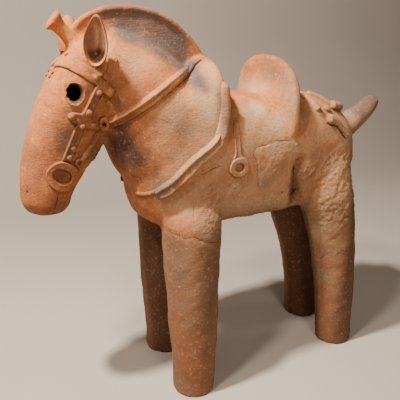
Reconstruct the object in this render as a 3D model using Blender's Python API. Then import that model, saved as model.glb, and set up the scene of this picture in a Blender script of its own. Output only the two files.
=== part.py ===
"""Haniwa horse: a fired-clay tomb figure of a saddled horse, luted together and fired in one piece.

Metres, +Z up.  The horse faces -X and its left flank faces -Y.  The shapes are laid out from the middle
of the four feet on the floor; the last step slides the finished clay along X, so that the origin is on
the floor under the middle of its bounding box.

Torso, neck, head, mane, legs and tail are lofts: closed rings carried along a line of stations.  Harness,
saddle boards, ears and forelock are worked over that body and joined to it by Boolean unions, as a potter
lutes them on.
"""
import math

import bmesh
import bpy
import numpy as np
from mathutils import Vector
from mathutils.bvhtree import BVHTree

# ------------------------------------------------------------------ driving dimensions (metres)
LEG_SPACING = 0.4394          # front feet to hind feet
FRONT_SPREAD = 0.1862         # between the centres of the front feet
HIND_SPREAD = 0.1490          # between the centres of the hind feet
HIND_SWEEP = {-1: 0.0, 1: 0.012}   # how much thicker each hind leg is above, left and right
FOOT_RADIUS = 0.049
CLAY_WALL = 0.013             # thickness of the thrown leg tubes
LEG_BORE_DEPTH = 0.060        # how far the legs are open from below
MANE_TOP = 0.860              # overall height
MANE_RIM = 0.0085             # half thickness of the mane's crest
EYE_RADIUS = 0.0130
EAR_HALF_WIDTH = 0.0218
EAR_FOOT = {-1: (-0.413, -0.0893, 0.7540), 1: (-0.427, 0.0893, 0.7530)}    # the two differ by a thumb
EAR_LENGTH = {-1: (0.003, -0.010, 0.087), 1: (0.011, 0.010, 0.090)}        # foot to tip, left and right
SADDLE_TOP = 0.763
POMMEL_X = -0.167
CANTLE_X = 0.000
BOARD_MIDDLE = 0.655          # height at which the saddle boards are widest
BOARD_DEPTH = 0.112           # how far they reach below it, into the body
STRAP = 0.0042                # how far a strap stands off the body
ROOT = 0.004                  # how deep an applied strip is pressed into the body

TERRACOTTA = (0.46, 0.215, 0.095, 1.0)
ROUGHNESS = 0.9
ROUNDS = 22                   # sides of the large lofts
LEG_ROUNDS = 16
BOARD_ROUNDS = 24             # sides of the saddle boards
SIDES = ((-1, "left"), (1, "right"))
FACETS = 9600                 # triangles kept in all
SLIVER = 0.00003              # edges shorter than this are closed up after each join


# ------------------------------------------------------------------ curves and lofts
def through(rows, count):
    """Smooth curve through rows of numbers: cubic Hermite with chord-length spacing, `count` samples."""
    rows = np.asarray(rows, float)
    step = np.linalg.norm(np.diff(rows[:, :3], axis=0), axis=1)
    knots = np.r_[0.0, np.cumsum(step)] / step.sum()
    slope = np.gradient(rows, knots, axis=0) if len(rows) > 2 else np.tile(np.diff(rows, axis=0), (2, 1))
    t = np.linspace(0.0, 1.0, count)
    i = np.clip(np.searchsorted(knots, t, side="right") - 1, 0, len(rows) - 2)
    h = (knots[i + 1] - knots[i])[:, None]
    s = (t - knots[i])[:, None] / h
    return ((2 * s**3 - 3 * s**2 + 1) * rows[i] + (s**3 - 2 * s**2 + s) * h * slope[i]
            + (3 * s**2 - 2 * s**3) * rows[i + 1] + (s**3 - s**2) * h * slope[i + 1])


def turn(sides):
    """Angles once round a ring."""
    return np.linspace(0.0, 2.0 * math.pi, sides, endpoint=False)


def squared(wave, power):
    """A cosine or sine bent towards a squarer ring: power 2 is an ellipse."""
    return np.sign(wave) * np.abs(wave) ** (2.0 / power)


def trunk(rows, stations, sides=ROUNDS):
    """Loft in the mid-plane.  A row is x, z, tilt of the section's upright in degrees from +Z towards -X,
    half width, height above the line, depth below it, squareness."""
    rows = np.insert(np.asarray(rows, float), 1, 0.0, axis=1)
    line = through(rows, stations)
    lean = np.radians(line[:, 3])
    upright = np.stack([-np.sin(lean), 0 * lean, np.cos(lean)], axis=1)[:, None, :]
    angle = turn(sides)[None, :]
    power = line[:, 7][:, None]
    rise = squared(np.sin(angle), power)
    reach = np.where(rise > 0, line[:, 5][:, None], line[:, 6][:, None])
    across = (squared(np.cos(angle), power) * line[:, 4][:, None])[..., None] * np.array([0.0, 1.0, 0.0])
    return line[:, None, :3] + across + (rise * reach)[..., None] * upright


def pipe(rows, stations, sides=16):
    """Round loft along rows of x, y, z, radius."""
    line = through(rows, stations)
    along = np.gradient(line[:, :3], axis=0)
    along /= np.linalg.norm(along, axis=1)[:, None]
    steady = np.eye(3)[np.argmin(np.abs(along).max(axis=0))]
    side = np.cross(along, steady)
    side /= np.linalg.norm(side, axis=1)[:, None]
    other = np.cross(side, along)
    angle = turn(sides)[None, :, None]
    radius = line[:, None, 3:4]
    return line[:, None, :3] + radius * (np.cos(angle) * side[:, None] + np.sin(angle) * other[:, None])


def post(rows, stations, sides=LEG_ROUNDS):
    """Upright tube of rows x, y, z, radius along x, radius along y, with level rings."""
    line = through(rows, stations)
    angle = turn(sides)[None, :, None]
    return (line[:, None, :3] + line[:, None, 3:4] * np.cos(angle) * np.array([1.0, 0.0, 0.0])
            + line[:, None, 4:5] * np.sin(angle) * np.array([0.0, 1.0, 0.0]))


# ------------------------------------------------------------------ meshes
def closed_object(name, shape):
    """Object from a bmesh, in triangles that all face out."""
    bmesh.ops.triangulate(shape, faces=shape.faces)
    bmesh.ops.recalc_face_normals(shape, faces=shape.faces)
    mesh = bpy.data.meshes.new(name)
    shape.to_mesh(mesh)
    shape.free()
    body = bpy.data.objects.new(name, mesh)
    bpy.context.collection.objects.link(body)
    return body


def solid(name, rings):
    """Closed body from rings: quads between them and a fan of triangles over each end."""
    sides = rings.shape[1]
    shape = bmesh.new()
    verts = [[shape.verts.new(point) for point in ring] for ring in rings]
    for lower, upper in zip(verts[:-1], verts[1:]):
        for k in range(sides):
            shape.faces.new((lower[k], lower[(k + 1) % sides], upper[(k + 1) % sides], upper[k]))
    for ring, points in ((verts[0], rings[0]), (verts[-1], rings[-1])):
        middle = shape.verts.new(points.mean(axis=0))
        for k in range(sides):
            shape.faces.new((ring[k], ring[(k + 1) % sides], middle))
    return closed_object(name, shape)


def fuse(body, pieces, operation="UNION"):
    """Joins pieces to the body, or cuts them out of it, one Boolean at a time, and keeps the result."""
    for piece in pieces:
        work = body.modifiers.new(piece.name, "BOOLEAN")
        work.operation = operation
        work.solver = "EXACT"
        work.object = piece
        bpy.context.view_layer.update()
        seen = body.evaluated_get(bpy.context.evaluated_depsgraph_get())
        fused = bpy.data.meshes.new_from_object(seen)
        facets = bmesh.new()
        facets.from_mesh(fused)
        bmesh.ops.remove_doubles(facets, verts=facets.verts, dist=SLIVER)
        bmesh.ops.dissolve_degenerate(facets, edges=facets.edges, dist=SLIVER)
        bmesh.ops.triangulate(facets, faces=facets.faces)
        facets.to_mesh(fused)
        facets.free()
        body.modifiers.clear()
        body.data = fused
        bpy.data.objects.remove(piece)


class Surface:
    """The clay so far, as something that strips and studs can be laid on."""

    def __init__(self, body):
        bpy.context.view_layer.update()
        self.tree = BVHTree.FromObject(body, bpy.context.evaluated_depsgraph_get())

    def touch(self, point):
        """Nearest surface point and its outward normal."""
        place, normal, _, _ = self.tree.find_nearest(Vector(point))
        return np.array(place), np.array(normal)

    def lay(self, points):
        """The same for each point of a rough path, with the normals evened out along it."""
        touched = [self.touch(point) for point in points]
        spots = np.array([place for place, _ in touched])
        normals = np.array([normal for _, normal in touched])
        for _ in range(2):
            inner = normals[:-2] + 2.0 * normals[1:-1] + normals[2:]
            normals[1:-1] = inner / np.linalg.norm(inner, axis=1)[:, None]
        return spots, normals


# ------------------------------------------------------------------ body
def torso():
    """Barrel of the body, from the breast to the rump, boxy below."""
    return trunk([
        (-0.340, 0.508, 0, 0.012, 0.012, 0.012, 2.0),
        (-0.331, 0.510, 0, 0.055, 0.055, 0.055, 2.0),
        (-0.306, 0.518, 0, 0.092, 0.100, 0.098, 2.1),
        (-0.255, 0.530, 0, 0.118, 0.132, 0.130, 2.8),
        (-0.170, 0.540, 0, 0.121, 0.142, 0.145, 2.7),
        (-0.080, 0.540, 0, 0.120, 0.143, 0.147, 2.6),
        (0.010, 0.540, 0, 0.120, 0.138, 0.146, 2.6),
        (0.100, 0.540, 0, 0.117, 0.134, 0.140, 2.5),
        (0.150, 0.535, 0, 0.110, 0.124, 0.130, 2.4),
        (0.190, 0.530, 0, 0.098, 0.106, 0.110, 2.2),
        (0.216, 0.525, 0, 0.072, 0.078, 0.080, 2.1),
        (0.229, 0.522, 0, 0.034, 0.036, 0.037, 2.0),
        (0.232, 0.522, 0, 0.008, 0.008, 0.008, 2.0)], 18)


def neck():
    """Thick neck, rising forward from the shoulders to the poll."""
    return trunk([
        (-0.190, 0.540, -46, 0.114, 0.125, 0.112, 2.4),
        (-0.250, 0.615, -45, 0.111, 0.125, 0.139, 2.3),
        (-0.300, 0.672, -42, 0.094, 0.112, 0.118, 2.1),
        (-0.345, 0.718, -34, 0.077, 0.095, 0.100, 2.0),
        (-0.385, 0.752, -24, 0.064, 0.072, 0.085, 2.0)], 8)


def head():
    """Long round head, hanging almost straight down, with a deep jaw."""
    return trunk([
        (-0.393, 0.795, 70, 0.024, 0.016, 0.016, 2.0),
        (-0.402, 0.772, 71, 0.050, 0.038, 0.040, 2.0),
        (-0.420, 0.735, 71, 0.059, 0.051, 0.065, 2.05),
        (-0.440, 0.690, 71, 0.059, 0.058, 0.080, 2.1),
        (-0.460, 0.640, 72, 0.056, 0.061, 0.087, 2.3),
        (-0.479, 0.590, 73, 0.053, 0.062, 0.085, 2.4),
        (-0.487, 0.565, 74, 0.0515, 0.060, 0.068, 2.3),
        (-0.495, 0.540, 75, 0.050, 0.058, 0.058, 2.2),
        (-0.506, 0.505, 77, 0.048, 0.051, 0.051, 2.1),
        (-0.511, 0.480, 80, 0.042, 0.044, 0.046, 2.0),
        (-0.513, 0.465, 82, 0.026, 0.028, 0.030, 2.0),
        (-0.513, 0.459, 82, 0.008, 0.008, 0.008, 2.0)], 17, 18)


def mane():
    """Upright crest: a rim of even thickness that thickens down into the neck."""
    crest = through([(-0.440, 0.0, 0.812), (-0.413, 0.0, 0.838), (-0.374, 0.0, 0.854),
                     (-0.325, 0.0, MANE_TOP), (-0.273, 0.0, 0.852), (-0.219, 0.0, 0.827),
                     (-0.187, 0.0, 0.799), (-0.158, 0.0, 0.762)], 14)
    depth = np.array([0.0, 0.004, 0.018, 0.045, 0.070, 0.095])
    half = np.array([0.0, 0.85, 1.0, 1.35, 2.6, 4.4]) * MANE_RIM
    down = np.r_[depth, depth[:0:-1]]
    side = np.r_[half, -half[:0:-1]]
    inward = np.array([-0.300, 0.0, 0.680]) - crest
    inward /= np.linalg.norm(inward, axis=1)[:, None]
    return (crest[:, None, :] + down[None, :, None] * inward[:, None, :]
            + side[None, :, None] * np.array([0.0, 1.0, 0.0]))


def front_leg(side):
    """Thrown tube, a little wider and nearer the middle at the shoulder; side is -1 on the left."""
    x = -LEG_SPACING / 2
    y = side * FRONT_SPREAD / 2
    return post([
        (x, y, 0.0, FOOT_RADIUS, FOOT_RADIUS),
        (x, y, 0.10, 0.052, 0.052),
        (x - 0.002, y - side * 0.004, 0.22, 0.058, 0.058),
        (x - 0.002, y - side * 0.010, 0.36, 0.063, 0.064),
        (x + 0.000, y - side * 0.016, 0.43, 0.067, 0.064),
        (x + 0.002, y - side * 0.028, 0.49, 0.064, 0.050),
        (x + 0.008, y - side * 0.044, 0.56, 0.044, 0.042)], 8)


def hind_leg(side, sweep):
    """Thrown tube that leans forward going up into the haunch; sweep thickens it upwards."""
    x = LEG_SPACING / 2
    y = side * HIND_SPREAD / 2
    return post([
        (x, y, 0.0, FOOT_RADIUS - 0.001, FOOT_RADIUS - 0.001),
        (x - 0.008, y, 0.10, 0.049, 0.050),
        (x - 0.025, y, 0.22, 0.053 + 0.3 * sweep, 0.055),
        (x - 0.053 - sweep / 2, y, 0.36, 0.063 + sweep, 0.061),
        (x - 0.076 - sweep / 2, y - side * 0.006, 0.45, 0.071 + sweep, 0.063),
        (x - 0.088, y - side * 0.014, 0.53, 0.063, 0.055),
        (x - 0.096, y - side * 0.028, 0.60, 0.040, 0.036)], 9)


def tail():
    """Short thick horn, curving up and back to a blunt tip."""
    return pipe([(0.200, 0, 0.566, 0.036), (0.250, 0, 0.580, 0.031), (0.285, 0, 0.600, 0.028),
                 (0.312, 0, 0.620, 0.024), (0.331, 0, 0.635, 0.019), (0.341, 0, 0.643, 0.010)], 8, 12)


# ------------------------------------------------------------------ saddle
def saddle_board(stations):
    """Upright board across the back: a squared oval, squarer in its lower half.  A station is x, half
    width, and the height of its top over the widest level."""
    angle = turn(BOARD_ROUNDS)[None, :]
    rows = np.asarray(stations, float)
    wide, tall = rows[:, 1:2], rows[:, 2:3]
    power = np.where(np.sin(angle) > 0, 2.3, 2.9)
    rise = squared(np.sin(angle), power)
    rings = np.empty((len(rows), BOARD_ROUNDS, 3))
    rings[..., 0] = rows[:, 0:1]
    rings[..., 1] = wide * squared(np.cos(angle), power)
    rings[..., 2] = BOARD_MIDDLE + np.where(rise > 0, tall, BOARD_DEPTH) * rise
    return rings


def pommel():
    """Front board: a rounded rear edge, and a front face that runs out into the neck."""
    tall = SADDLE_TOP - BOARD_MIDDLE
    return saddle_board([
        (POMMEL_X + 0.012, 0.109, tall - 0.008), (POMMEL_X + 0.007, 0.115, tall - 0.001),
        (POMMEL_X - 0.004, 0.117, tall - 0.001), (POMMEL_X - 0.028, 0.114, tall - 0.012),
        (POMMEL_X - 0.060, 0.106, tall - 0.031), (POMMEL_X - 0.095, 0.092, tall - 0.058),
        (POMMEL_X - 0.130, 0.066, tall - 0.092)])


def cantle():
    """Rear board: free-standing behind, dished in front where the seat runs up into it."""
    tall = SADDLE_TOP - BOARD_MIDDLE
    return saddle_board([
        (CANTLE_X - 0.052, 0.062, 0.014), (CANTLE_X - 0.030, 0.080, 0.034),
        (CANTLE_X - 0.013, 0.101, 0.068), (CANTLE_X - 0.005, 0.117, tall - 0.010),
        (CANTLE_X + 0.001, 0.125, tall - 0.003), (CANTLE_X + 0.011, 0.125, tall - 0.003),
        (CANTLE_X + 0.017, 0.117, tall - 0.011)])


# ------------------------------------------------------------------ head pieces
def ear(side):
    """Cupped leaf: a bowl over a leaf outline, deepest low down, with its mouth turned out and forward.
    Rings run from the deepest point of the hollow over the lip to the back of the cup."""
    long_axis = np.array(EAR_LENGTH[side])
    length = np.linalg.norm(long_axis)
    long_axis = long_axis / length
    face = np.array([-0.38, side * 0.92, 0.0])
    face -= long_axis * face.dot(long_axis)
    face /= np.linalg.norm(face)
    broad = np.cross(long_axis, face)
    foot = np.array(EAR_FOOT[side])
    angle = turn(14)
    climb = 0.5 - 0.5 * np.cos(angle)
    along = length * climb
    across = EAR_HALF_WIDTH * np.sin(angle) * (1.0 - 0.30 * climb**2) / 0.93
    pit = 0.36 * length
    rings = []
    for out, deep in ((0.06, 0.021), (0.50, 0.016), (0.84, 0.003), (0.97, 0.0), (1.0, 0.004),
                      (0.82, 0.015), (0.50, 0.025), (0.06, 0.031)):
        spread = pit + out * (along - pit)
        rings.append(foot + spread[:, None] * long_axis + (out * across)[:, None] * broad - deep * face)
    return np.array(rings)


def ear_root(side):
    """Lump of clay that joins the back of the ear to the head."""
    return pipe([(-0.402, side * 0.028, 0.768, 0.026), (-0.402, side * 0.050, 0.777, 0.022),
                 (-0.402, side * 0.068, 0.785, 0.015)], 4, 10)


def forelock():
    """Stub between the ears that flares into a flat disc facing forward and up."""
    return pipe([(-0.408, 0, 0.768, 0.024), (-0.430, 0, 0.792, 0.0165), (-0.449, 0, 0.814, 0.0130),
                 (-0.458, 0, 0.824, 0.0150), (-0.463, 0, 0.8285, 0.0195), (-0.468, 0, 0.8320, 0.0185)],
                8, 12)


def head_hollow():
    """Hollow inside the head behind the eyes."""
    angle = turn(10)[None, :]
    slope = np.radians([25, 60, 90, 120, 155])[:, None]
    rings = np.empty((5, 10, 3))
    rings[..., 0] = -0.432 + 0.040 * np.sin(slope) * np.cos(angle)
    rings[..., 1] = 0.040 * np.cos(slope)
    rings[..., 2] = 0.705 + 0.045 * np.sin(slope) * np.sin(angle)
    return rings


def eye_holes():
    """Round hole straight through both sides of the head."""
    return pipe([(-0.447, -0.09, 0.708, EYE_RADIUS), (-0.447, 0.0, 0.708, EYE_RADIUS),
                 (-0.447, 0.09, 0.708, EYE_RADIUS)], 2, 16)


def leg_bore(side, spacing, spread):
    """The open end of a leg tube."""
    x = spacing / 2
    y = side * spread / 2
    radius = FOOT_RADIUS - CLAY_WALL
    return post([(x, y, -0.02, radius, radius), (x, y, LEG_BORE_DEPTH, radius, radius)], 2, 12)


def jaw_scoop():
    """Hollow between the two cheeks, under the jaw."""
    angle = turn(10)[None, :]
    slope = np.radians(np.linspace(15, 165, 6))[:, None]
    down_jaw = np.array([-0.60, 0.0, -0.80])
    out_of_jaw = np.array([0.80, 0.0, -0.60])
    middle = np.array([-0.402, 0.0, 0.562])
    return (middle + 0.062 * np.cos(slope)[..., None] * down_jaw
            + (0.031 * np.sin(slope) * np.sin(angle))[..., None] * np.array([0.0, 1.0, 0.0])
            + (0.036 * np.sin(slope) * np.cos(angle))[..., None] * out_of_jaw)


# ------------------------------------------------------------------ harness
FLAT_STRIP = ((-1.0, None), (-0.8, 1.0), (0.8, 1.0), (1.0, None))
GROOVED_STRIP = ((-1.0, None), (-0.75, 1.0), (-0.25, 0.9), (0.0, 0.3), (0.25, 0.9), (0.75, 1.0),
                 (1.0, None))


def strip(surface, path, stations, half_width, height, section, ends):
    """Band laid along a rough path.  Every path point goes to the nearest clay, and the section, given as
    shares of half width and height, stands on the surface there; None is the pressed-in edge."""
    spots, normals = surface.lay(through(path, stations))
    along = np.gradient(spots, axis=0)
    along /= np.linalg.norm(along, axis=1)[:, None]
    across = np.cross(normals, along)
    across /= np.linalg.norm(across, axis=1)[:, None]
    wide = half_width * np.interp(np.linspace(0, 1, stations), (0.0, 0.2, 0.8, 1.0),
                                  (ends[0], 1.0, 1.0, ends[1]))
    rings = []
    for share, level in section:
        lift = -ROOT if level is None else level * height
        rings.append(spots + (share * wide)[:, None] * across + lift * normals)
    return np.stack(rings, axis=1)


def in_surface(normal):
    """Two directions in the surface: the first is as level as it can be, the second points up it."""
    level = np.cross(normal, [0.0, 0.0, 1.0])
    level /= np.linalg.norm(level)
    return level, np.cross(level, normal)


def stud(surface, spot, radius, height, sides):
    """Small pellet pressed on: a low dome."""
    place, normal = surface.touch(spot)
    level, uphill = in_surface(normal)
    angle = turn(sides)[:, None]
    circle = np.cos(angle) * level + np.sin(angle) * uphill
    steps = ((1.0, -ROOT), (0.95, 0.5 * height), (0.5, height))
    return np.array([place + share * radius * circle + lift * normal for share, lift in steps])


def ring(surface, spot, long, short, band, height, slope, sides=12):
    """Flat oval ring pressed on: half axes to the middle of its band, the band's half width and height;
    slope turns the long axis from level, in degrees."""
    place, normal = surface.touch(spot)
    level, uphill = in_surface(normal)
    lean = math.radians(slope)
    first = math.cos(lean) * level + math.sin(lean) * uphill
    second = np.cross(normal, first)
    angle = turn(sides)[:, None]
    rings = []
    for share, lift in ((-1.0, -ROOT), (-0.6, 1.0), (0.6, 1.0), (1.0, -ROOT)):
        out = share * band
        rise = lift if lift < 0 else lift * height
        rings.append(place + (long + out) * np.cos(angle) * first + (short + out) * np.sin(angle) * second
                     + rise * normal)
    return np.array(rings)


def hoop(name, rings):
    """Closed ring from its loops: quads round the section as well as round the loop."""
    count, sides = rings.shape[:2]
    shape = bmesh.new()
    verts = [[shape.verts.new(point) for point in loop] for loop in rings]
    for i in range(count):
        for k in range(sides):
            j, m = (i + 1) % count, (k + 1) % sides
            shape.faces.new((verts[i][k], verts[i][m], verts[j][m], verts[j][k]))
    return closed_object(name, shape)


def on_side(path, side):
    """A path given for the left side, moved to the side asked for."""
    return [(x, -side * y, z) for x, y, z in path]


# Paths run close to the clay; each point is moved to the nearest surface when the strip is laid.
HEADSTALL = ((-0.393, -0.060, 0.714), (-0.386, -0.066, 0.728), (-0.377, -0.067, 0.743),
             (-0.373, -0.064, 0.760), (-0.364, -0.052, 0.786))
BROWBAND = ((-0.402, -0.057, 0.728), (-0.416, -0.056, 0.738), (-0.430, -0.054, 0.748),
            (-0.445, -0.045, 0.757), (-0.458, -0.030, 0.762), (-0.467, -0.012, 0.761))
CHEEK_STRAP = ((-0.392, -0.058, 0.722), (-0.405, -0.057, 0.705), (-0.417, -0.057, 0.684),
               (-0.430, -0.056, 0.662), (-0.443, -0.055, 0.640), (-0.460, -0.053, 0.601),
               (-0.470, -0.052, 0.578))
LOWER_REIN = ((-0.444, -0.048, 0.576), (-0.428, -0.048, 0.593), (-0.416, -0.048, 0.609),
              (-0.402, -0.050, 0.627))
UPPER_REIN = ((-0.388, -0.060, 0.642), (-0.371, -0.065, 0.652), (-0.340, -0.082, 0.672),
              (-0.301, -0.087, 0.696), (-0.263, -0.079, 0.719), (-0.228, -0.056, 0.732),
              (-0.205, -0.038, 0.739), (-0.180, -0.030, 0.753))
BREAST_STRAP = ((-0.171, -0.116, 0.622), (-0.178, -0.117, 0.604), (-0.194, -0.118, 0.591),
                (-0.228, -0.120, 0.570), (-0.258, -0.116, 0.541), (-0.286, -0.104, 0.514),
                (-0.304, -0.088, 0.504), (-0.316, -0.068, 0.498), (-0.326, -0.042, 0.493))
STIRRUP_STRAP = ((-0.131, -0.104, 0.640), (-0.134, -0.110, 0.622), (-0.135, -0.116, 0.600),
                 (-0.134, -0.118, 0.580), (-0.134, -0.119, 0.564))
CRUPPER_LOW_BAND = ((0.068, -0.046, 0.672), (0.079, -0.072, 0.658), (0.088, -0.089, 0.643))
CRUPPER_BAND = ((0.095, -0.030, 0.671), (0.121, -0.046, 0.662), (0.141, -0.063, 0.647))
CRUPPER_DROP = ((0.136, -0.096, 0.614), (0.154, -0.098, 0.598), (0.172, -0.098, 0.578))

# name, path, stations, half width, height, section, share of the width left at its two ends
STRAPS = (
    ("headstall", HEADSTALL, 6, 0.0085, STRAP, FLAT_STRIP, (1.0, 0.8)),
    ("cheek_strap", CHEEK_STRAP, 9, 0.0092, STRAP, FLAT_STRIP, (1.0, 1.0)),
    ("browband", BROWBAND, 7, 0.0115, 0.0034, FLAT_STRIP, (0.9, 0.9)),
    ("lower_rein", LOWER_REIN, 5, 0.0048, 0.0075, FLAT_STRIP, (0.9, 0.9)),
    ("upper_rein", UPPER_REIN, 13, 0.0100, 0.0095, FLAT_STRIP, (0.8, 0.6)),
    ("breast_strap", BREAST_STRAP, 12, 0.0130, 0.0095, GROOVED_STRIP, (0.5, 0.2)),
    ("stirrup_strap", STIRRUP_STRAP, 5, 0.0075, 0.0038, FLAT_STRIP, (0.6, 1.6)),
    ("crupper_low_band", CRUPPER_LOW_BAND, 4, 0.0085, 0.0070, FLAT_STRIP, (0.9, 0.9)),
    ("crupper_band", CRUPPER_BAND, 4, 0.0085, 0.0065, FLAT_STRIP, (0.7, 0.9)),
    ("crupper_drop", CRUPPER_DROP, 4, 0.0058, 0.0060, FLAT_STRIP, (1.0, 0.6)))

CROSS_PLATES = ((-0.393, -0.061, 0.719), (-0.435, -0.056, 0.657))
HEAD_STUDS = ((-0.407, -0.057, 0.731), (-0.387, -0.064, 0.734), (-0.402, -0.055, 0.706),
              (-0.380, -0.065, 0.705), (-0.455, -0.057, 0.664), (-0.426, -0.056, 0.670),
              (-0.439, -0.055, 0.645), (-0.418, -0.052, 0.645),
              (-0.456, -0.053, 0.602), (-0.465, -0.052, 0.586))
BROW_STUDS = ((-0.453, -0.018, 0.766), (-0.466, -0.014, 0.752), (-0.478, -0.014, 0.736))
CRUPPER_KNOBS = ((0.160, -0.060, 0.640), (0.128, -0.097, 0.618), (0.118, -0.080, 0.642))

# name, places, radius, height, sides
PELLETS = (
    ("plate", CROSS_PLATES, 0.0215, 0.0070, 11),
    ("stud", HEAD_STUDS, 0.0070, 0.0115, 6),
    ("brow_stud", BROW_STUDS, 0.0045, 0.0038, 6),
    ("knob", CRUPPER_KNOBS, 0.0120, 0.0140, 7))

# name, middle, half axes to the middle of the band, its half width and height, slope of the long axis
RINGS = (
    ("stirrup", (-0.132, -0.120, 0.545), 0.0165, 0.0153, 0.0058, 0.0070, 0),
    ("bit", (-0.481, -0.050, 0.550), 0.0265, 0.0212, 0.0070, 0.0080, 32),
    ("rein_ring", (-0.395, -0.060, 0.640), 0.0093, 0.0091, 0.0042, 0.0088, 0),
    ("lower_ring", (-0.447, -0.049, 0.573), 0.0066, 0.0066, 0.0030, 0.0068, 0))


def build_harness(horse):
    """Straps, pellets and rings of both sides, laid on the finished body."""
    surface = Surface(horse)
    pieces = []
    for side, label in SIDES:
        for name, path, stations, half_width, height, section, ends in STRAPS:
            laid = strip(surface, on_side(path, side), stations, half_width, height, section, ends)
            pieces.append(solid(name + "_" + label, laid))
        for name, places, radius, height, sides in PELLETS:
            for number, spot in enumerate(on_side(places, side)):
                laid = stud(surface, spot, radius, height, sides)
                pieces.append(solid("%s_%s_%d" % (name, label, number), laid))
        for name, middle, long, short, width, height, slope in RINGS:
            (spot,) = on_side([middle], side)
            laid = ring(surface, spot, long, short, width, height, -side * slope)
            pieces.append(hoop(name + "_" + label, laid))
    fuse(horse, pieces)


# ------------------------------------------------------------------ assembly
def clear_scene():
    for old in list(bpy.data.objects):
        bpy.data.objects.remove(old)


def build_body():
    """Everything but the harness, fused into one clay body."""
    horse = solid("haniwa_horse", torso())
    pieces = [solid("neck", neck()), solid("mane", mane()), solid("head", head()), solid("tail", tail()),
              solid("pommel", pommel()), solid("cantle", cantle()), solid("forelock", forelock())]
    for side, label in SIDES:
        pieces.append(solid("front_leg_" + label, front_leg(side)))
        pieces.append(solid("hind_leg_" + label, hind_leg(side, HIND_SWEEP[side])))
        pieces.append(solid("ear_root_" + label, ear_root(side)))
        pieces.append(solid("ear_" + label, ear(side)))
    fuse(horse, pieces)
    cutters = [solid("jaw_scoop", jaw_scoop()), solid("head_hollow", head_hollow()),
               solid("eye_holes", eye_holes())]
    for side, label in SIDES:
        cutters.append(solid("front_bore_" + label, leg_bore(side, -LEG_SPACING, FRONT_SPREAD)))
        cutters.append(solid("hind_bore_" + label, leg_bore(side, LEG_SPACING, HIND_SPREAD)))
    fuse(horse, cutters, "DIFFERENCE")
    return horse


def thin_out(horse):
    """Fewer facets, where the joins left long thin ones."""
    decimate = horse.modifiers.new("thin_out", "DECIMATE")
    decimate.ratio = FACETS / len(horse.data.polygons)
    bpy.context.view_layer.update()
    seen = horse.evaluated_get(bpy.context.evaluated_depsgraph_get())
    thinner = bpy.data.meshes.new_from_object(seen)
    horse.modifiers.clear()
    horse.data = thinner


def finish(horse):
    """One terracotta material, and the origin under the middle of the bounding box."""
    clay = bpy.data.materials.new("terracotta")
    clay.use_nodes = True
    shader = clay.node_tree.nodes["Principled BSDF"]
    shader.inputs["Base Color"].default_value = TERRACOTTA
    shader.inputs["Roughness"].default_value = ROUGHNESS
    shader.inputs["Metallic"].default_value = 0.0
    horse.data.materials.clear()
    horse.data.materials.append(clay)
    spots = np.array([vertex.co for vertex in horse.data.vertices])
    middle = (spots.min(axis=0) + spots.max(axis=0)) / 2.0
    for vertex in horse.data.vertices:
        vertex.co.x -= middle[0]
        vertex.co.y -= middle[1]


def main():
    clear_scene()
    horse = build_body()
    build_harness(horse)
    thin_out(horse)
    finish(horse)


main()
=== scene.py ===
"""Haniwa horse, dressed: the fired-clay skin of the figure and the harness luted on to it.

Shapes are worked out in the potter's frame, which is measured from the middle of the four feet on the
floor, with the horse facing -X and its left side towards -Y; the last loop moves them to the row's frame.

The skin is made of closed lofts (torso, neck, head, mane, legs, saddle boards, tail) fused by a voxel
remesh, which is what luting and smoothing wet clay does, and then dented, scraped and cracked.  Straps,
plates, pellets and rings are grids laid over that skin.
"""
import itertools
import math

import bmesh
import bpy
import numpy as np
from mathutils import Matrix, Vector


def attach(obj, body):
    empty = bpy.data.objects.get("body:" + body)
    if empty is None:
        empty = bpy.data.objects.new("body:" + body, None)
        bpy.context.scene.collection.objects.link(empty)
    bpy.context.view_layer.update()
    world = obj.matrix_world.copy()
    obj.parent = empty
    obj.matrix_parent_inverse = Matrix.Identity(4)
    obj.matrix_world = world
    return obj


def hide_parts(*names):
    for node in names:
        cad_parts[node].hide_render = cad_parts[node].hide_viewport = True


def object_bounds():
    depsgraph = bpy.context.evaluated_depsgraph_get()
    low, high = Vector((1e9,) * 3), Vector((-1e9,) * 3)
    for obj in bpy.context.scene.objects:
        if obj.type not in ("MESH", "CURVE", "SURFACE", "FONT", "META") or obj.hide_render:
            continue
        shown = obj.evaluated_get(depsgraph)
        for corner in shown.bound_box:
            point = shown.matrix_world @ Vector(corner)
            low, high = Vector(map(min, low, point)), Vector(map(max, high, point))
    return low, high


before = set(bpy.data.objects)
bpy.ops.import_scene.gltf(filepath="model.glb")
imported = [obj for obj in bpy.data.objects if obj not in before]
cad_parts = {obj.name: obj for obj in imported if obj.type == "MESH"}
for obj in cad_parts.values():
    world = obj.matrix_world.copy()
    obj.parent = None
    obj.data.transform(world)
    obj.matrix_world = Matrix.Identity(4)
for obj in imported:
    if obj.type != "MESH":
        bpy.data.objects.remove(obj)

cad_low, cad_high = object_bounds()

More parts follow.
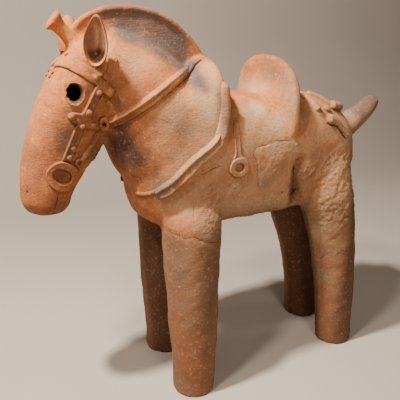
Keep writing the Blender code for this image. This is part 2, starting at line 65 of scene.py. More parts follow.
# ------------------------------------------------------------------ driving dimensions (metres)
LEG_SPACING = 0.4394          # front feet to hind feet
FRONT_SPREAD = 0.1862
HIND_SPREAD = 0.1490
FOOT_RADIUS = 0.049
CLAY_WALL = 0.013
LEG_BORE_DEPTH = 0.060
MANE_TOP = 0.8585
SNUG = np.array([1e-5, 1e-5, 0.0])   # how far the skin stays inside the size of the row
MANE_RIM = 0.0085
EYE_RADIUS = 0.0153            # of the hole; it is a fifth taller than wide
EYE_TALL = 1.21
EYE_AHEAD = {-1: -0.4455, 1: -0.4500}
EYE_UP = 0.7050
EAR_HALF_WIDTH = 0.0218
EAR_FOOT = {-1: (-0.413, -0.0893, 0.7540), 1: (-0.427, 0.0893, 0.7530)}    # the two differ by a thumb
EAR_LENGTH = {-1: (0.003, -0.010, 0.087), 1: (0.011, 0.010, 0.090)}        # foot to tip, left and right
SADDLE_TOP = 0.763
POMMEL_X = -0.167
CANTLE_X = 0.000
BOARD_MIDDLE = 0.655
BOARD_DEPTH = 0.112
MUZZLE_REACH = 0.55506        # from the middle of the feet to the tip of the muzzle
SIDES = ((-1, "left"), (1, "right"))
HIND_SWEEP = {-1: 0.0, 1: 0.012}

CAMERA_SPOT = (-0.6413, -0.9879, 0.8379)
CAMERA_TURN = (0.45165, 0.35079, 0.00953)    # yaw from +Y towards +X, pitch down and roll, in radians

VOXEL = 0.0031                # grid on which the lofts are fused
SKIN_FACES = 190000           # triangles kept on the skin
CUT_FLAT = 0.0022             # what lies lower than this on a foot is cut level with the floor

slide = np.array([cad_low.x + MUZZLE_REACH, 0.0, 0.0])


# ------------------------------------------------------------------ curves and grids
def through(rows, count):
    """Smooth curve through rows of numbers: cubic Hermite, spaced by the distance between the points."""
    rows = np.asarray(rows, float)
    step = np.linalg.norm(np.diff(rows[:, :3], axis=0), axis=1)
    knots = np.r_[0.0, np.cumsum(step)] / step.sum()
    slope = np.gradient(rows, knots, axis=0) if len(rows) > 2 else np.tile(np.diff(rows, axis=0), (2, 1))
    t = np.linspace(0.0, 1.0, count)
    i = np.clip(np.searchsorted(knots, t, side="right") - 1, 0, len(rows) - 2)
    h = (knots[i + 1] - knots[i])[:, None]
    s = (t - knots[i])[:, None] / h
    return ((2 * s**3 - 3 * s**2 + 1) * rows[i] + (s**3 - 2 * s**2 + s) * h * slope[i]
            + (3 * s**2 - 2 * s**3) * rows[i + 1] + (s**3 - s**2) * h * slope[i + 1])


def turn(sides):
    """Angles once round a ring."""
    return np.linspace(0.0, 2.0 * math.pi, sides, endpoint=False)


def squared(wave, power):
    """A cosine or sine bent towards a squarer ring: its sign times its size to the power 2/n."""
    return np.sign(wave) * np.abs(wave) ** (2.0 / power)


def unit(vectors):
    """Vectors brought to length one."""
    return vectors / np.maximum(np.linalg.norm(vectors, axis=-1, keepdims=True), 1e-12)


def trunk(rows, stations, sides):
    """Loft in the mid-plane.  A row is x, z, tilt of the section's upright in degrees from +Z towards -X,
    half width, height above the line, depth below it, squareness; a ring is the line's point plus
    half width times the bent cosine across, and height or depth times the bent sine upright."""
    rows = np.insert(np.asarray(rows, float), 1, 0.0, axis=1)
    line = through(rows, stations)
    lean = np.radians(line[:, 3])
    upright = np.stack([-np.sin(lean), 0 * lean, np.cos(lean)], axis=1)[:, None, :]
    angle = turn(sides)[None, :]
    power = line[:, 7][:, None]
    rise = squared(np.sin(angle), power)
    reach = np.where(rise > 0, line[:, 5][:, None], line[:, 6][:, None])
    across = (squared(np.cos(angle), power) * line[:, 4][:, None])[..., None] * np.array([0.0, 1.0, 0.0])
    return line[:, None, :3] + across + (rise * reach)[..., None] * upright


def pipe(rows, stations, sides):
    """Round loft along rows of x, y, z, radius: each ring is a circle square to the curve."""
    line = through(rows, stations)
    along = unit(np.gradient(line[:, :3], axis=0))
    steady = np.eye(3)[np.argmin(np.abs(along).max(axis=0))]
    side = unit(np.cross(along, steady))
    other = np.cross(side, along)
    angle = turn(sides)[None, :, None]
    return line[:, None, :3] + line[:, None, 3:4] * (np.cos(angle) * side[:, None]
                                                     + np.sin(angle) * other[:, None])


def level_rings(line, sides):
    """Rows of x, y, z, radius along x, radius along y, each as a level ellipse."""
    line = np.asarray(line, float)
    angle = turn(sides)[None, :, None]
    return (line[:, None, :3] + line[:, None, 3:4] * np.cos(angle) * np.array([1.0, 0.0, 0.0])
            + line[:, None, 4:5] * np.sin(angle) * np.array([0.0, 1.0, 0.0]))


# ------------------------------------------------------------------ meshes
def grid_mesh(name, rings, looped=False):
    """Mesh from a grid of rings: quads between them, and a fan over each end, or the last ring joined to
    the first where it is looped.  Corner numbers are worked out as whole arrays."""
    count, sides = rings.shape[:2]
    rows = np.arange(count if looped else count - 1)[:, None]
    cols = np.arange(sides)[None, :]
    following = (rows + 1) % count
    turned = (cols + 1) % sides
    quads = np.stack([rows * sides + cols, rows * sides + turned,
                      following * sides + turned, following * sides + cols], axis=-1).reshape(-1, 4)
    points = rings.reshape(-1, 3)
    faces = quads.tolist()
    if not looped:
        first, last = len(points), len(points) + 1
        points = np.vstack([points, rings[0].mean(axis=0), rings[-1].mean(axis=0)])
        ring = np.arange(sides)
        after = (ring + 1) % sides
        base = (count - 1) * sides
        faces += np.stack([after, ring, np.full(sides, first)], axis=-1).tolist()
        faces += np.stack([base + ring, base + after, np.full(sides, last)], axis=-1).tolist()
    mesh = bpy.data.meshes.new(name)
    mesh.from_pydata(points.tolist(), [], faces)
    shape = bmesh.new()
    shape.from_mesh(mesh)
    bmesh.ops.recalc_face_normals(shape, faces=shape.faces)
    shape.to_mesh(mesh)
    shape.free()
    return mesh


def added(name, mesh):
    """The mesh as an object of the scene."""
    piece = bpy.data.objects.new(name, mesh)
    bpy.context.collection.objects.link(piece)
    return piece


def evaluated(piece):
    """The piece's mesh as its modifiers make it, which then replaces the old one."""
    bpy.context.view_layer.update()
    seen = piece.evaluated_get(bpy.context.evaluated_depsgraph_get())
    made = bpy.data.meshes.new_from_object(seen)
    piece.modifiers.clear()
    piece.data = made
    return made


def read_points(mesh):
    """All vertices as one array."""
    flat = np.empty(len(mesh.vertices) * 3)
    mesh.vertices.foreach_get("co", flat)
    return flat.reshape(-1, 3)


def write_points(mesh, points):
    """Puts the array back into the mesh."""
    mesh.vertices.foreach_set("co", np.ascontiguousarray(points, float).ravel())
    mesh.update()


def read_normals(mesh):
    """All vertex normals as one array."""
    flat = np.empty(len(mesh.vertices) * 3)
    mesh.vertex_normals.foreach_get("vector", flat)
    return flat.reshape(-1, 3)


def read_edges(mesh):
    """The vertex numbers of both ends of every edge."""
    flat = np.empty(len(mesh.edges) * 2, np.int32)
    mesh.edges.foreach_get("vertices", flat)
    return flat.reshape(-1, 2)


def evened(points, edges, weight, rounds, swell=0.0):
    """Each point moves by its weight towards the mean of its neighbours; a swell step after each round
    pushes it back, which keeps the volume."""
    ends = np.r_[edges[:, 0], edges[:, 1]]
    others = np.r_[edges[:, 1], edges[:, 0]]
    share = np.bincount(ends, minlength=len(points)).astype(float)[:, None]
    for _ in range(rounds):
        for pull in ((1.0, -swell) if swell else (1.0,)):
            total = np.stack([np.bincount(ends, points[others, k], len(points)) for k in range(3)], axis=1)
            points = points + pull * weight * (total / share - points)
    return points


# ------------------------------------------------------------------ chance, without chance: lattice noise
def grain(points, size, seed):
    """Value noise from -1 to 1: a fixed number at each corner of a cubic lattice of this size, blended
    smoothly between the corners."""
    cell = points / size + np.array([17.3, 5.9, 41.7]) * (seed + 1)
    base = np.floor(cell).astype(np.int64)
    part = cell - base
    part = part * part * (3.0 - 2.0 * part)
    total = np.zeros(len(points))
    for corner in itertools.product((0, 1), repeat=3):
        at = base + np.array(corner)
        mixed = (at[:, 0] * 73856093) ^ (at[:, 1] * 19349663) ^ (at[:, 2] * 83492791) ^ (seed * 2654435761)
        mixed = (mixed ^ (mixed >> 13)) & 0x7FFFFFFF
        mixed = (mixed * 1274126177) & 0x7FFFFFFF
        mixed = (mixed ^ (mixed >> 11)) & 0xFFFFF
        share = np.prod(np.where(np.array(corner) == 1, part, 1.0 - part), axis=1)
        total += share * (mixed / 524287.5 - 1.0)
    return total


def rough(points, size, seed, layers=3):
    """Sum of noises, each of half the size and half the weight of the one before."""
    return sum(grain(points, size / 2**k, seed + k) / 2**k for k in range(layers))


def step(value, low, high):
    """Smooth step from 0 at low to 1 at high."""
    share = np.clip((value - low) / (high - low), 0.0, 1.0)
    return share * share * (3.0 - 2.0 * share)


def blot(points, middle, spread, edge=0.0, seed=0):
    """Soft round patch: 1 at the middle, fading as a bell over the spread along x, y and z; edge is how
    much noise breaks its border."""
    away = (((points - np.array(middle)) / np.array(spread)) ** 2).sum(axis=1)
    if edge:
        away = away * np.exp(edge * rough(points, 0.03, seed))
    return np.exp(-away)


def distance_to(points, path):
    """Distance from every point to a line of straight runs, and how far along it the nearest place is."""
    path = np.asarray(path, float)
    best = np.full(len(points), 1e9)
    along = np.zeros(len(points))
    for number, (start, end) in enumerate(zip(path[:-1], path[1:])):
        run = end - start
        share = np.clip(((points - start) @ run) / (run @ run), 0.0, 1.0)
        away = np.linalg.norm(points - start - share[:, None] * run, axis=1)
        nearer = away < best
        best[nearer] = away[nearer]
        along[nearer] = (number + share[nearer]) / (len(path) - 1)
    return best, along


# ------------------------------------------------------------------ body lofts
def torso():
    """Barrel of the body, from the breast to the rump, boxy below."""
    return trunk([
        (-0.340, 0.508, 0, 0.012, 0.012, 0.012, 2.0),
        (-0.331, 0.510, 0, 0.055, 0.055, 0.055, 2.0),
        (-0.306, 0.518, 0, 0.092, 0.100, 0.098, 2.1),
        (-0.255, 0.530, 0, 0.118, 0.132, 0.130, 2.8),
        (-0.170, 0.540, 0, 0.121, 0.142, 0.145, 2.7),
        (-0.080, 0.540, 0, 0.120, 0.143, 0.147, 2.6),
        (0.010, 0.540, 0, 0.120, 0.138, 0.146, 2.6),
        (0.100, 0.540, 0, 0.117, 0.134, 0.140, 2.5),
        (0.150, 0.535, 0, 0.110, 0.124, 0.130, 2.4),
        (0.190, 0.530, 0, 0.098, 0.106, 0.110, 2.2),
        (0.216, 0.525, 0, 0.072, 0.078, 0.080, 2.1),
        (0.229, 0.522, 0, 0.034, 0.036, 0.037, 2.0),
        (0.232, 0.522, 0, 0.008, 0.008, 0.008, 2.0)], 110, 120)


def neck():
    """Thick neck, rising forward from the shoulders to the poll."""
    return trunk([
        (-0.190, 0.540, -46, 0.114, 0.125, 0.112, 2.4),
        (-0.250, 0.615, -45, 0.111, 0.125, 0.139, 2.3),
        (-0.300, 0.672, -42, 0.094, 0.112, 0.118, 2.1),
        (-0.345, 0.718, -34, 0.077, 0.095, 0.100, 2.0),
        (-0.385, 0.752, -24, 0.064, 0.072, 0.085, 2.0)], 60, 110)


def head():
    """Long round head, hanging almost straight down, with a deep jaw."""
    return trunk([
        (-0.393, 0.795, 70, 0.024, 0.016, 0.016, 2.0),
        (-0.402, 0.772, 71, 0.050, 0.038, 0.040, 2.0),
        (-0.420, 0.735, 71, 0.059, 0.051, 0.065, 2.05),
        (-0.440, 0.690, 71, 0.059, 0.058, 0.080, 2.1),
        (-0.460, 0.640, 72, 0.056, 0.061, 0.087, 2.3),
        (-0.479, 0.590, 73, 0.053, 0.062, 0.085, 2.4),
        (-0.487, 0.565, 74, 0.0515, 0.060, 0.068, 2.3),
        (-0.495, 0.540, 75, 0.050, 0.058, 0.058, 2.2),
        (-0.506, 0.505, 77, 0.048, 0.051, 0.051, 2.1),
        (-0.511, 0.480, 80, 0.042, 0.044, 0.046, 2.0),
        (-0.513, 0.465, 82, 0.026, 0.028, 0.030, 2.0),
        (-0.513, 0.459, 82, 0.008, 0.008, 0.008, 2.0)], 90, 90)


def mane():
    """Upright crest.  Its section is a rolled rim, a thinner web below it, and a foot that spreads into
    the neck; the section hangs from the crest line towards a point inside the neck."""
    crest = through([(-0.440, 0.0, 0.812), (-0.413, 0.0, 0.838), (-0.374, 0.0, 0.854),
                     (-0.325, 0.0, MANE_TOP), (-0.273, 0.0, 0.852), (-0.219, 0.0, 0.827),
                     (-0.187, 0.0, 0.799), (-0.158, 0.0, 0.762)], 80)
    depth = np.r_[0.0, 0.001, 0.003, 0.005, 0.008, 0.011, np.linspace(0.015, 0.095, 16)]
    half = MANE_RIM * np.interp(depth, [0.0, 0.001, 0.003, 0.005, 0.008, 0.012, 0.022, 0.045, 0.070, 0.095],
                                [0.0, 0.60, 0.92, 1.05, 1.0, 0.68, 0.66, 1.15, 2.5, 4.4])
    down = np.r_[depth, depth[:0:-1]]
    side = np.r_[half, -half[:0:-1]]
    inward = unit(np.array([-0.300, 0.0, 0.680]) - crest)
    return (crest[:, None, :] + down[None, :, None] * inward[:, None, :]
            + side[None, :, None] * np.array([0.0, 1.0, 0.0]))


def tube_leg(rows):
    """Thrown tube with its open foot: rings run down the bore, round the rim and up the outside."""
    x, y = rows[0][:2]
    bore = FOOT_RADIUS - CLAY_WALL
    inner = [(x, y, LEG_BORE_DEPTH, r, r) for r in (0.002, 0.018, bore - 0.004)]
    inner += [(x, y, z, bore, bore) for z in np.linspace(LEG_BORE_DEPTH - 0.004, 0.004, 12)]
    radius = rows[0][3]
    rim = [(x, y, 0.001, bore + 0.001, bore + 0.001), (x, y, 0.0, bore + 0.004, bore + 0.004),
           (x, y, 0.0, radius - 0.004, radius - 0.004), (x, y, 0.0012, radius - 0.0014, radius - 0.0014)]
    outer = through(rows, 70)
    outer[0, 2] = 0.003
    return level_rings(np.vstack([inner, rim, outer]), 72)


def front_leg(side):
    """A little wider and nearer the middle at the shoulder; side is -1 on the left."""
    x = -LEG_SPACING / 2
    y = side * FRONT_SPREAD / 2
    return tube_leg([
        (x, y, 0.0, FOOT_RADIUS, FOOT_RADIUS),
        (x, y, 0.10, 0.052, 0.052),
        (x - 0.002, y - side * 0.004, 0.22, 0.058, 0.058),
        (x - 0.002, y - side * 0.010, 0.36, 0.063, 0.064),
        (x + 0.000, y - side * 0.016, 0.43, 0.067, 0.064),
        (x + 0.002, y - side * 0.028, 0.49, 0.064, 0.050),
        (x + 0.008, y - side * 0.044, 0.56, 0.044, 0.042)])


def hind_leg(side, sweep):
    """Leans forward going up into the haunch; sweep thickens it upwards."""
    x = LEG_SPACING / 2
    y = side * HIND_SPREAD / 2
    return tube_leg([
        (x, y, 0.0, FOOT_RADIUS - 0.001, FOOT_RADIUS - 0.001),
        (x - 0.008, y, 0.10, 0.049, 0.050),
        (x - 0.025, y, 0.22, 0.053 + 0.3 * sweep, 0.055),
        (x - 0.053 - sweep / 2, y, 0.36, 0.063 + sweep, 0.061),
        (x - 0.076 - sweep / 2, y - side * 0.006, 0.45, 0.071 + sweep, 0.063),
        (x - 0.088, y - side * 0.014, 0.53, 0.063, 0.055),
        (x - 0.096, y - side * 0.028, 0.60, 0.040, 0.036)])


def tail():
    """Short thick horn, curving up and back to a blunt tip."""
    return pipe([(0.200, 0, 0.566, 0.036), (0.250, 0, 0.580, 0.031), (0.285, 0, 0.600, 0.028),
                 (0.312, 0, 0.620, 0.024), (0.331, 0, 0.635, 0.019), (0.338, 0, 0.6405, 0.0145),
                 (0.3405, 0, 0.6425, 0.009), (0.3412, 0, 0.6430, 0.003)], 60, 48)


def saddle_board(stations, rounds):
    """Upright board across the back: a squared oval, squarer in its lower half.  A station is x, half
    width, and the height of its top over the widest level."""
    rows = np.asarray(stations, float)
    even = np.linspace(0, len(rows) - 1, rounds)
    rows = np.stack([np.interp(even, np.arange(len(rows)), rows[:, k]) for k in range(3)], axis=1)
    angle = turn(120)[None, :]
    wide, tall = rows[:, 1:2], rows[:, 2:3]
    power = np.where(np.sin(angle) > 0, 2.3, 2.9)
    rise = squared(np.sin(angle), power)
    rings = np.empty((rounds, 120, 3))
    rings[..., 0] = rows[:, 0:1]
    rings[..., 1] = wide * squared(np.cos(angle), power)
    rings[..., 2] = BOARD_MIDDLE + np.where(rise > 0, tall, BOARD_DEPTH) * rise
    return rings


def pommel():
    """Front board: a rounded rear edge, and a front face that runs out into the neck."""
    tall = SADDLE_TOP - BOARD_MIDDLE
    return saddle_board([
        (POMMEL_X + 0.012, 0.107, tall - 0.010), (POMMEL_X + 0.010, 0.112, tall - 0.004),
        (POMMEL_X + 0.005, 0.1155, tall - 0.001), (POMMEL_X - 0.004, 0.117, tall - 0.001),
        (POMMEL_X - 0.028, 0.114, tall - 0.012), (POMMEL_X - 0.060, 0.106, tall - 0.031),
        (POMMEL_X - 0.095, 0.092, tall - 0.058), (POMMEL_X - 0.130, 0.066, tall - 0.092)], 50)


def cantle():
    """Rear board: free-standing behind, dished in front where the seat runs up into it."""
    tall = SADDLE_TOP - BOARD_MIDDLE
    return saddle_board([
        (CANTLE_X - 0.052, 0.062, 0.014), (CANTLE_X - 0.030, 0.080, 0.034),
        (CANTLE_X - 0.013, 0.101, 0.068), (CANTLE_X - 0.005, 0.117, tall - 0.010),
        (CANTLE_X - 0.001, 0.1235, tall - 0.0035), (CANTLE_X + 0.005, 0.125, tall - 0.002),
        (CANTLE_X + 0.012, 0.1245, tall - 0.003), (CANTLE_X + 0.017, 0.119, tall - 0.009)], 50)


def ear_root(side):
    """Lump of clay that joins the back of the ear to the head."""
    ahead = EAR_FOOT[side][0]
    return pipe([(ahead + 0.011, side * 0.028, 0.768, 0.026), (ahead + 0.010, side * 0.048, 0.775, 0.021),
                 (ahead + 0.010, side * 0.0635, 0.778, 0.014)], 16, 32)


def forelock():
    """Stub between the ears that flares into a flat disc facing forward and up."""
    return pipe([(-0.408, 0, 0.768, 0.024), (-0.430, 0, 0.792, 0.0165), (-0.449, 0, 0.814, 0.0130),
                 (-0.458, 0, 0.824, 0.0150), (-0.463, 0, 0.8285, 0.0195), (-0.4665, 0, 0.8312, 0.0198),
                 (-0.4680, 0, 0.8322, 0.0180), (-0.4688, 0, 0.8328, 0.0090)], 40, 40)


def ball(middle, half, count=24):
    """Closed oval body: rings of latitude between two poles."""
    slope = np.linspace(0.02, math.pi - 0.02, count)[:, None]
    angle = turn(count * 2)[None, :]
    rings = np.empty((count, count * 2, 3))
    rings[..., 0] = middle[0] + half[0] * np.sin(slope) * np.cos(angle)
    rings[..., 1] = middle[1] + half[1] * np.sin(slope) * np.sin(angle)
    rings[..., 2] = middle[2] + half[2] * np.cos(slope)
    return rings


def jaw_scoop():
    """Hollow between the two cheeks, under the jaw: a ball drawn out along the jaw line."""
    ahead, across, below = np.moveaxis(ball((0.0, 0.0, 0.0), (0.032, 0.029, 0.056)), -1, 0)[..., None]
    return (np.array([-0.398, 0.0, 0.560]) + ahead * np.array([0.80, 0.0, -0.60])
            + across * np.array([0.0, 1.0, 0.0]) + below * np.array([-0.60, 0.0, -0.80]))


def hollowed_head():
    """The head with the holes of the eyes, the hollow behind them and the scoop under the jaw cut out."""
    body = added("head_loft", grid_mesh("head_loft", head()))
    eyes = pipe([(EYE_AHEAD[side], side * out, EYE_UP, EYE_RADIUS)
                 for side, out in ((-1, 0.09), (-1, 0.04), (1, 0.04), (1, 0.09))], 4, 40)
    eyes[..., 2] = EYE_UP + EYE_TALL * (eyes[..., 2] - EYE_UP)
    for rings in (jaw_scoop(), ball((-0.432, 0.0, 0.705), (0.040, 0.046, 0.045)), eyes):
        cutter = added("head_cutter", grid_mesh("head_cutter", rings))
        cut = body.modifiers.new("cut", "BOOLEAN")
        cut.operation = "DIFFERENCE"
        cut.solver = "EXACT"
        cut.object = cutter
        evaluated(body)
        bpy.data.objects.remove(cutter)
    return body


def fused_clay():
    """All the lofts as one mesh, fused on a voxel grid."""
    lofts = [torso(), neck(), mane(), pommel(), cantle(), forelock(), tail()]
    for side, _ in SIDES:
        lofts += [front_leg(side), hind_leg(side, HIND_SWEEP[side]), ear_root(side)]
    joined = bmesh.new()
    for rings in lofts:
        part = grid_mesh("loft", rings)
        joined.from_mesh(part)
        bpy.data.meshes.remove(part)
    body = hollowed_head()
    joined.from_mesh(body.data)
    bpy.data.objects.remove(body)
    mesh = bpy.data.meshes.new("haniwa_clay_body")
    joined.to_mesh(mesh)
    joined.free()
    clay = added("haniwa_clay_body", mesh)
    fusing = clay.modifiers.new("fusing", "REMESH")
    fusing.mode = "VOXEL"
    fusing.voxel_size = VOXEL
    fusing.adaptivity = 0.0
    evaluated(clay)
    return clay


# ------------------------------------------------------------------ marks on the clay (potter's frame)
REPAIR_EDGE = ((0.008, -0.117, 0.588), (-0.015, -0.117, 0.589),
               (-0.043, -0.116, 0.591), (-0.068, -0.117, 0.584), (-0.088, -0.117, 0.582),
               (-0.097, -0.118, 0.575), (-0.097, -0.118, 0.566), (-0.087, -0.119, 0.550),
               (-0.083, -0.119, 0.527), (-0.079, -0.117, 0.496), (-0.069, -0.114, 0.478))
REPAIR_BACK = ((0.008, -0.117, 0.588), (0.018, -0.118, 0.579), (0.028, -0.119, 0.564),
               (0.034, -0.119, 0.546))
HAUNCH_CREASE = ((0.037, -0.121, 0.556), (0.028, -0.120, 0.530), (0.023, -0.119, 0.510),
                 (0.023, -0.117, 0.490), (0.030, -0.110, 0.460), (0.044, -0.096, 0.428),
                 (0.066, -0.075, 0.404))
UPPER_HIND_CRACK = ((0.098, -0.074, 0.376), (0.106, -0.102, 0.377), (0.118, -0.119, 0.380),
                    (0.140, -0.131, 0.388), (0.162, -0.135, 0.390), (0.186, -0.130, 0.386))
LOWER_HIND_CRACK = ((0.122, -0.066, 0.266), (0.134, -0.096, 0.267), (0.139, -0.109, 0.284),
                    (0.148, -0.121, 0.291), (0.170, -0.131, 0.288), (0.202, -0.127, 0.277))
FRONT_JOIN = ((-0.285, -0.081, 0.418), (-0.275, -0.110, 0.417), (-0.258, -0.129, 0.410),
              (-0.240, -0.138, 0.413), (-0.220, -0.146, 0.399), (-0.190, -0.137, 0.392),
              (-0.166, -0.116, 0.394))
RED_EDGE = ((-0.231, -0.120, 0.522), (-0.236, -0.119, 0.500), (-0.235, -0.119, 0.477),
            (-0.239, -0.128, 0.444), (-0.239, -0.134, 0.427))
NECK_CRACK = ((-0.303, -0.095, 0.656), (-0.287, -0.100, 0.650), (-0.270, -0.105, 0.640),
              (-0.259, -0.108, 0.626), (-0.252, -0.110, 0.612))
NECK_CRACK_LOW = ((-0.322, -0.085, 0.612), (-0.300, -0.098, 0.606), (-0.280, -0.106, 0.604),
                  (-0.262, -0.110, 0.612))
SHOULDER_CRACK = ((-0.221, -0.122, 0.539), (-0.207, -0.122, 0.543), (-0.184, -0.121, 0.550),
                  (-0.174, -0.120, 0.551))
SEAT_CRACK = ((-0.098, -0.075, 0.664), (-0.075, -0.052, 0.676), (-0.045, -0.036, 0.681),
              (-0.034, -0.052, 0.680), (-0.033, -0.079, 0.661), (-0.024, -0.090, 0.655),
              (-0.015, -0.100, 0.636), (-0.017, -0.111, 0.612))
SEAT_CRACK_LOW = ((-0.098, -0.080, 0.661), (-0.086, -0.096, 0.643), (-0.066, -0.102, 0.634),
                  (-0.045, -0.092, 0.647), (-0.033, -0.082, 0.659))
SEAT_CRACK_LEFT = ((-0.066, -0.102, 0.634), (-0.062, -0.108, 0.620), (-0.045, -0.112, 0.609),
                   (-0.017, -0.113, 0.607))
MOUTH = ((-0.490, -0.049, 0.517), (-0.492, -0.047, 0.503), (-0.498, -0.044, 0.486),
         (-0.504, -0.034, 0.472))


def pit(x, y, z):
    """A pinhole, written as a crack one millimetre long."""
    return (x, y, z), (x + 0.001, y, z)


# path, half width and depth of the groove in the skin, half width of the dark line along it
CRACKS = (
    (REPAIR_EDGE, 0.0026, 0.0014, 0.0010),
    (REPAIR_BACK, 0.0030, 0.0008, 0.0004),
    # The crease's dark line is painted shade.
    (HAUNCH_CREASE, 0.0120, 0.0210, 0.0016),
    (UPPER_HIND_CRACK, 0.0024, 0.0008, 0.0006),
    (LOWER_HIND_CRACK, 0.0026, 0.0010, 0.0008),
    (FRONT_JOIN, 0.0045, 0.0018, 0.0009),
    (RED_EDGE, 0.0040, 0.0005, 0.0004),
    (NECK_CRACK, 0.0022, 0.0003, 0.0006),
    (NECK_CRACK_LOW, 0.0022, 0.0003, 0.0004),
    (SHOULDER_CRACK, 0.0030, 0.0014, 0.0008),
    (SEAT_CRACK, 0.0024, 0.0005, 0.0005),
    (SEAT_CRACK_LOW, 0.0024, 0.0005, 0.0005),
    (SEAT_CRACK_LEFT, 0.0024, 0.0005, 0.0005),
    (MOUTH, 0.0026, 0.0018, 0.0012),
    (pit(-0.545, -0.029, 0.520), 0.0045, 0.0022, 0.0037),
    (pit(-0.523, -0.032, 0.626), 0.0024, 0.0010, 0.0020),
    (pit(-0.238, -0.101, 0.666), 0.0024, 0.0010, 0.0018),
    (pit(-0.268, -0.126, 0.414), 0.0045, 0.0020, 0.0026),
    (pit(-0.229, -0.144, 0.405), 0.0045, 0.0020, 0.0026),
    (pit(-0.021, -0.111, 0.444), 0.0026, 0.0020, 0.0022),
    (pit(-0.012, -0.113, 0.468), 0.0024, 0.0016, 0.0018),
    (pit(-0.040, -0.074, 0.664), 0.0022, 0.0008, 0.0014),
    (pit(-0.019, -0.103, 0.629), 0.0022, 0.0008, 0.0014))

CHEEK_STEP = 0.0070           # how far the cheek steps down behind the lower rein
REIN_FOOT = (-0.447, 0.573)   # lower end of that rein, along X and up
REIN_BACK, REIN_UP = 0.613, 0.790    # and its direction
LEE_DEPTH = 0.0016            # how far the clay is pressed in beside a strap
LEE_HALF_WIDTH = 0.0034
OFF_SURFACE = 0.015           # a crack is drawn only on clay that is this near to its path
REACH = 0.009                 # how far from a crack its distance is kept on the skin
ROOT = 0.004                  # how deep an applied strip is pressed into the body
NEIGHBOURS = 10               # vertices that settle the plane under a laid point
PLATE_HEIGHT = 0.0082


def mended(points):
    """Where the left flank and haunch were made up with rough filler, 0 to 1: the strip over the belly's
    edge, the flank beside the front leg, and the haunch down into the top of the hind leg."""
    x, y, z = (points + 0.012 * np.stack([rough(points, 0.030, k) for k in (3, 4, 5)], axis=1)).T
    left = step(-y, 0.00, 0.05)
    patch = (0.40 * step(x, -0.096, -0.086) * step(-x, -0.034, -0.022)
             * step(-z, -0.592, -0.584) * step(z, 0.47, 0.49))
    belly = step(x, -0.150, -0.115) * step(-x, -0.050, -0.030) * step(-z, -0.486, -0.462)
    shoulder = (0.75 * step(x, -0.246, -0.212) * step(-x, 0.085, 0.120)
                * step(-z, -0.535, -0.505) * step(z, 0.40, 0.43))
    haunch = 0.85 * step(x, 0.030, 0.045) * step(-z, -0.560, -0.520) * step(z, 0.300, 0.400)
    return left * np.max([patch, belly, shoulder, haunch], axis=0)


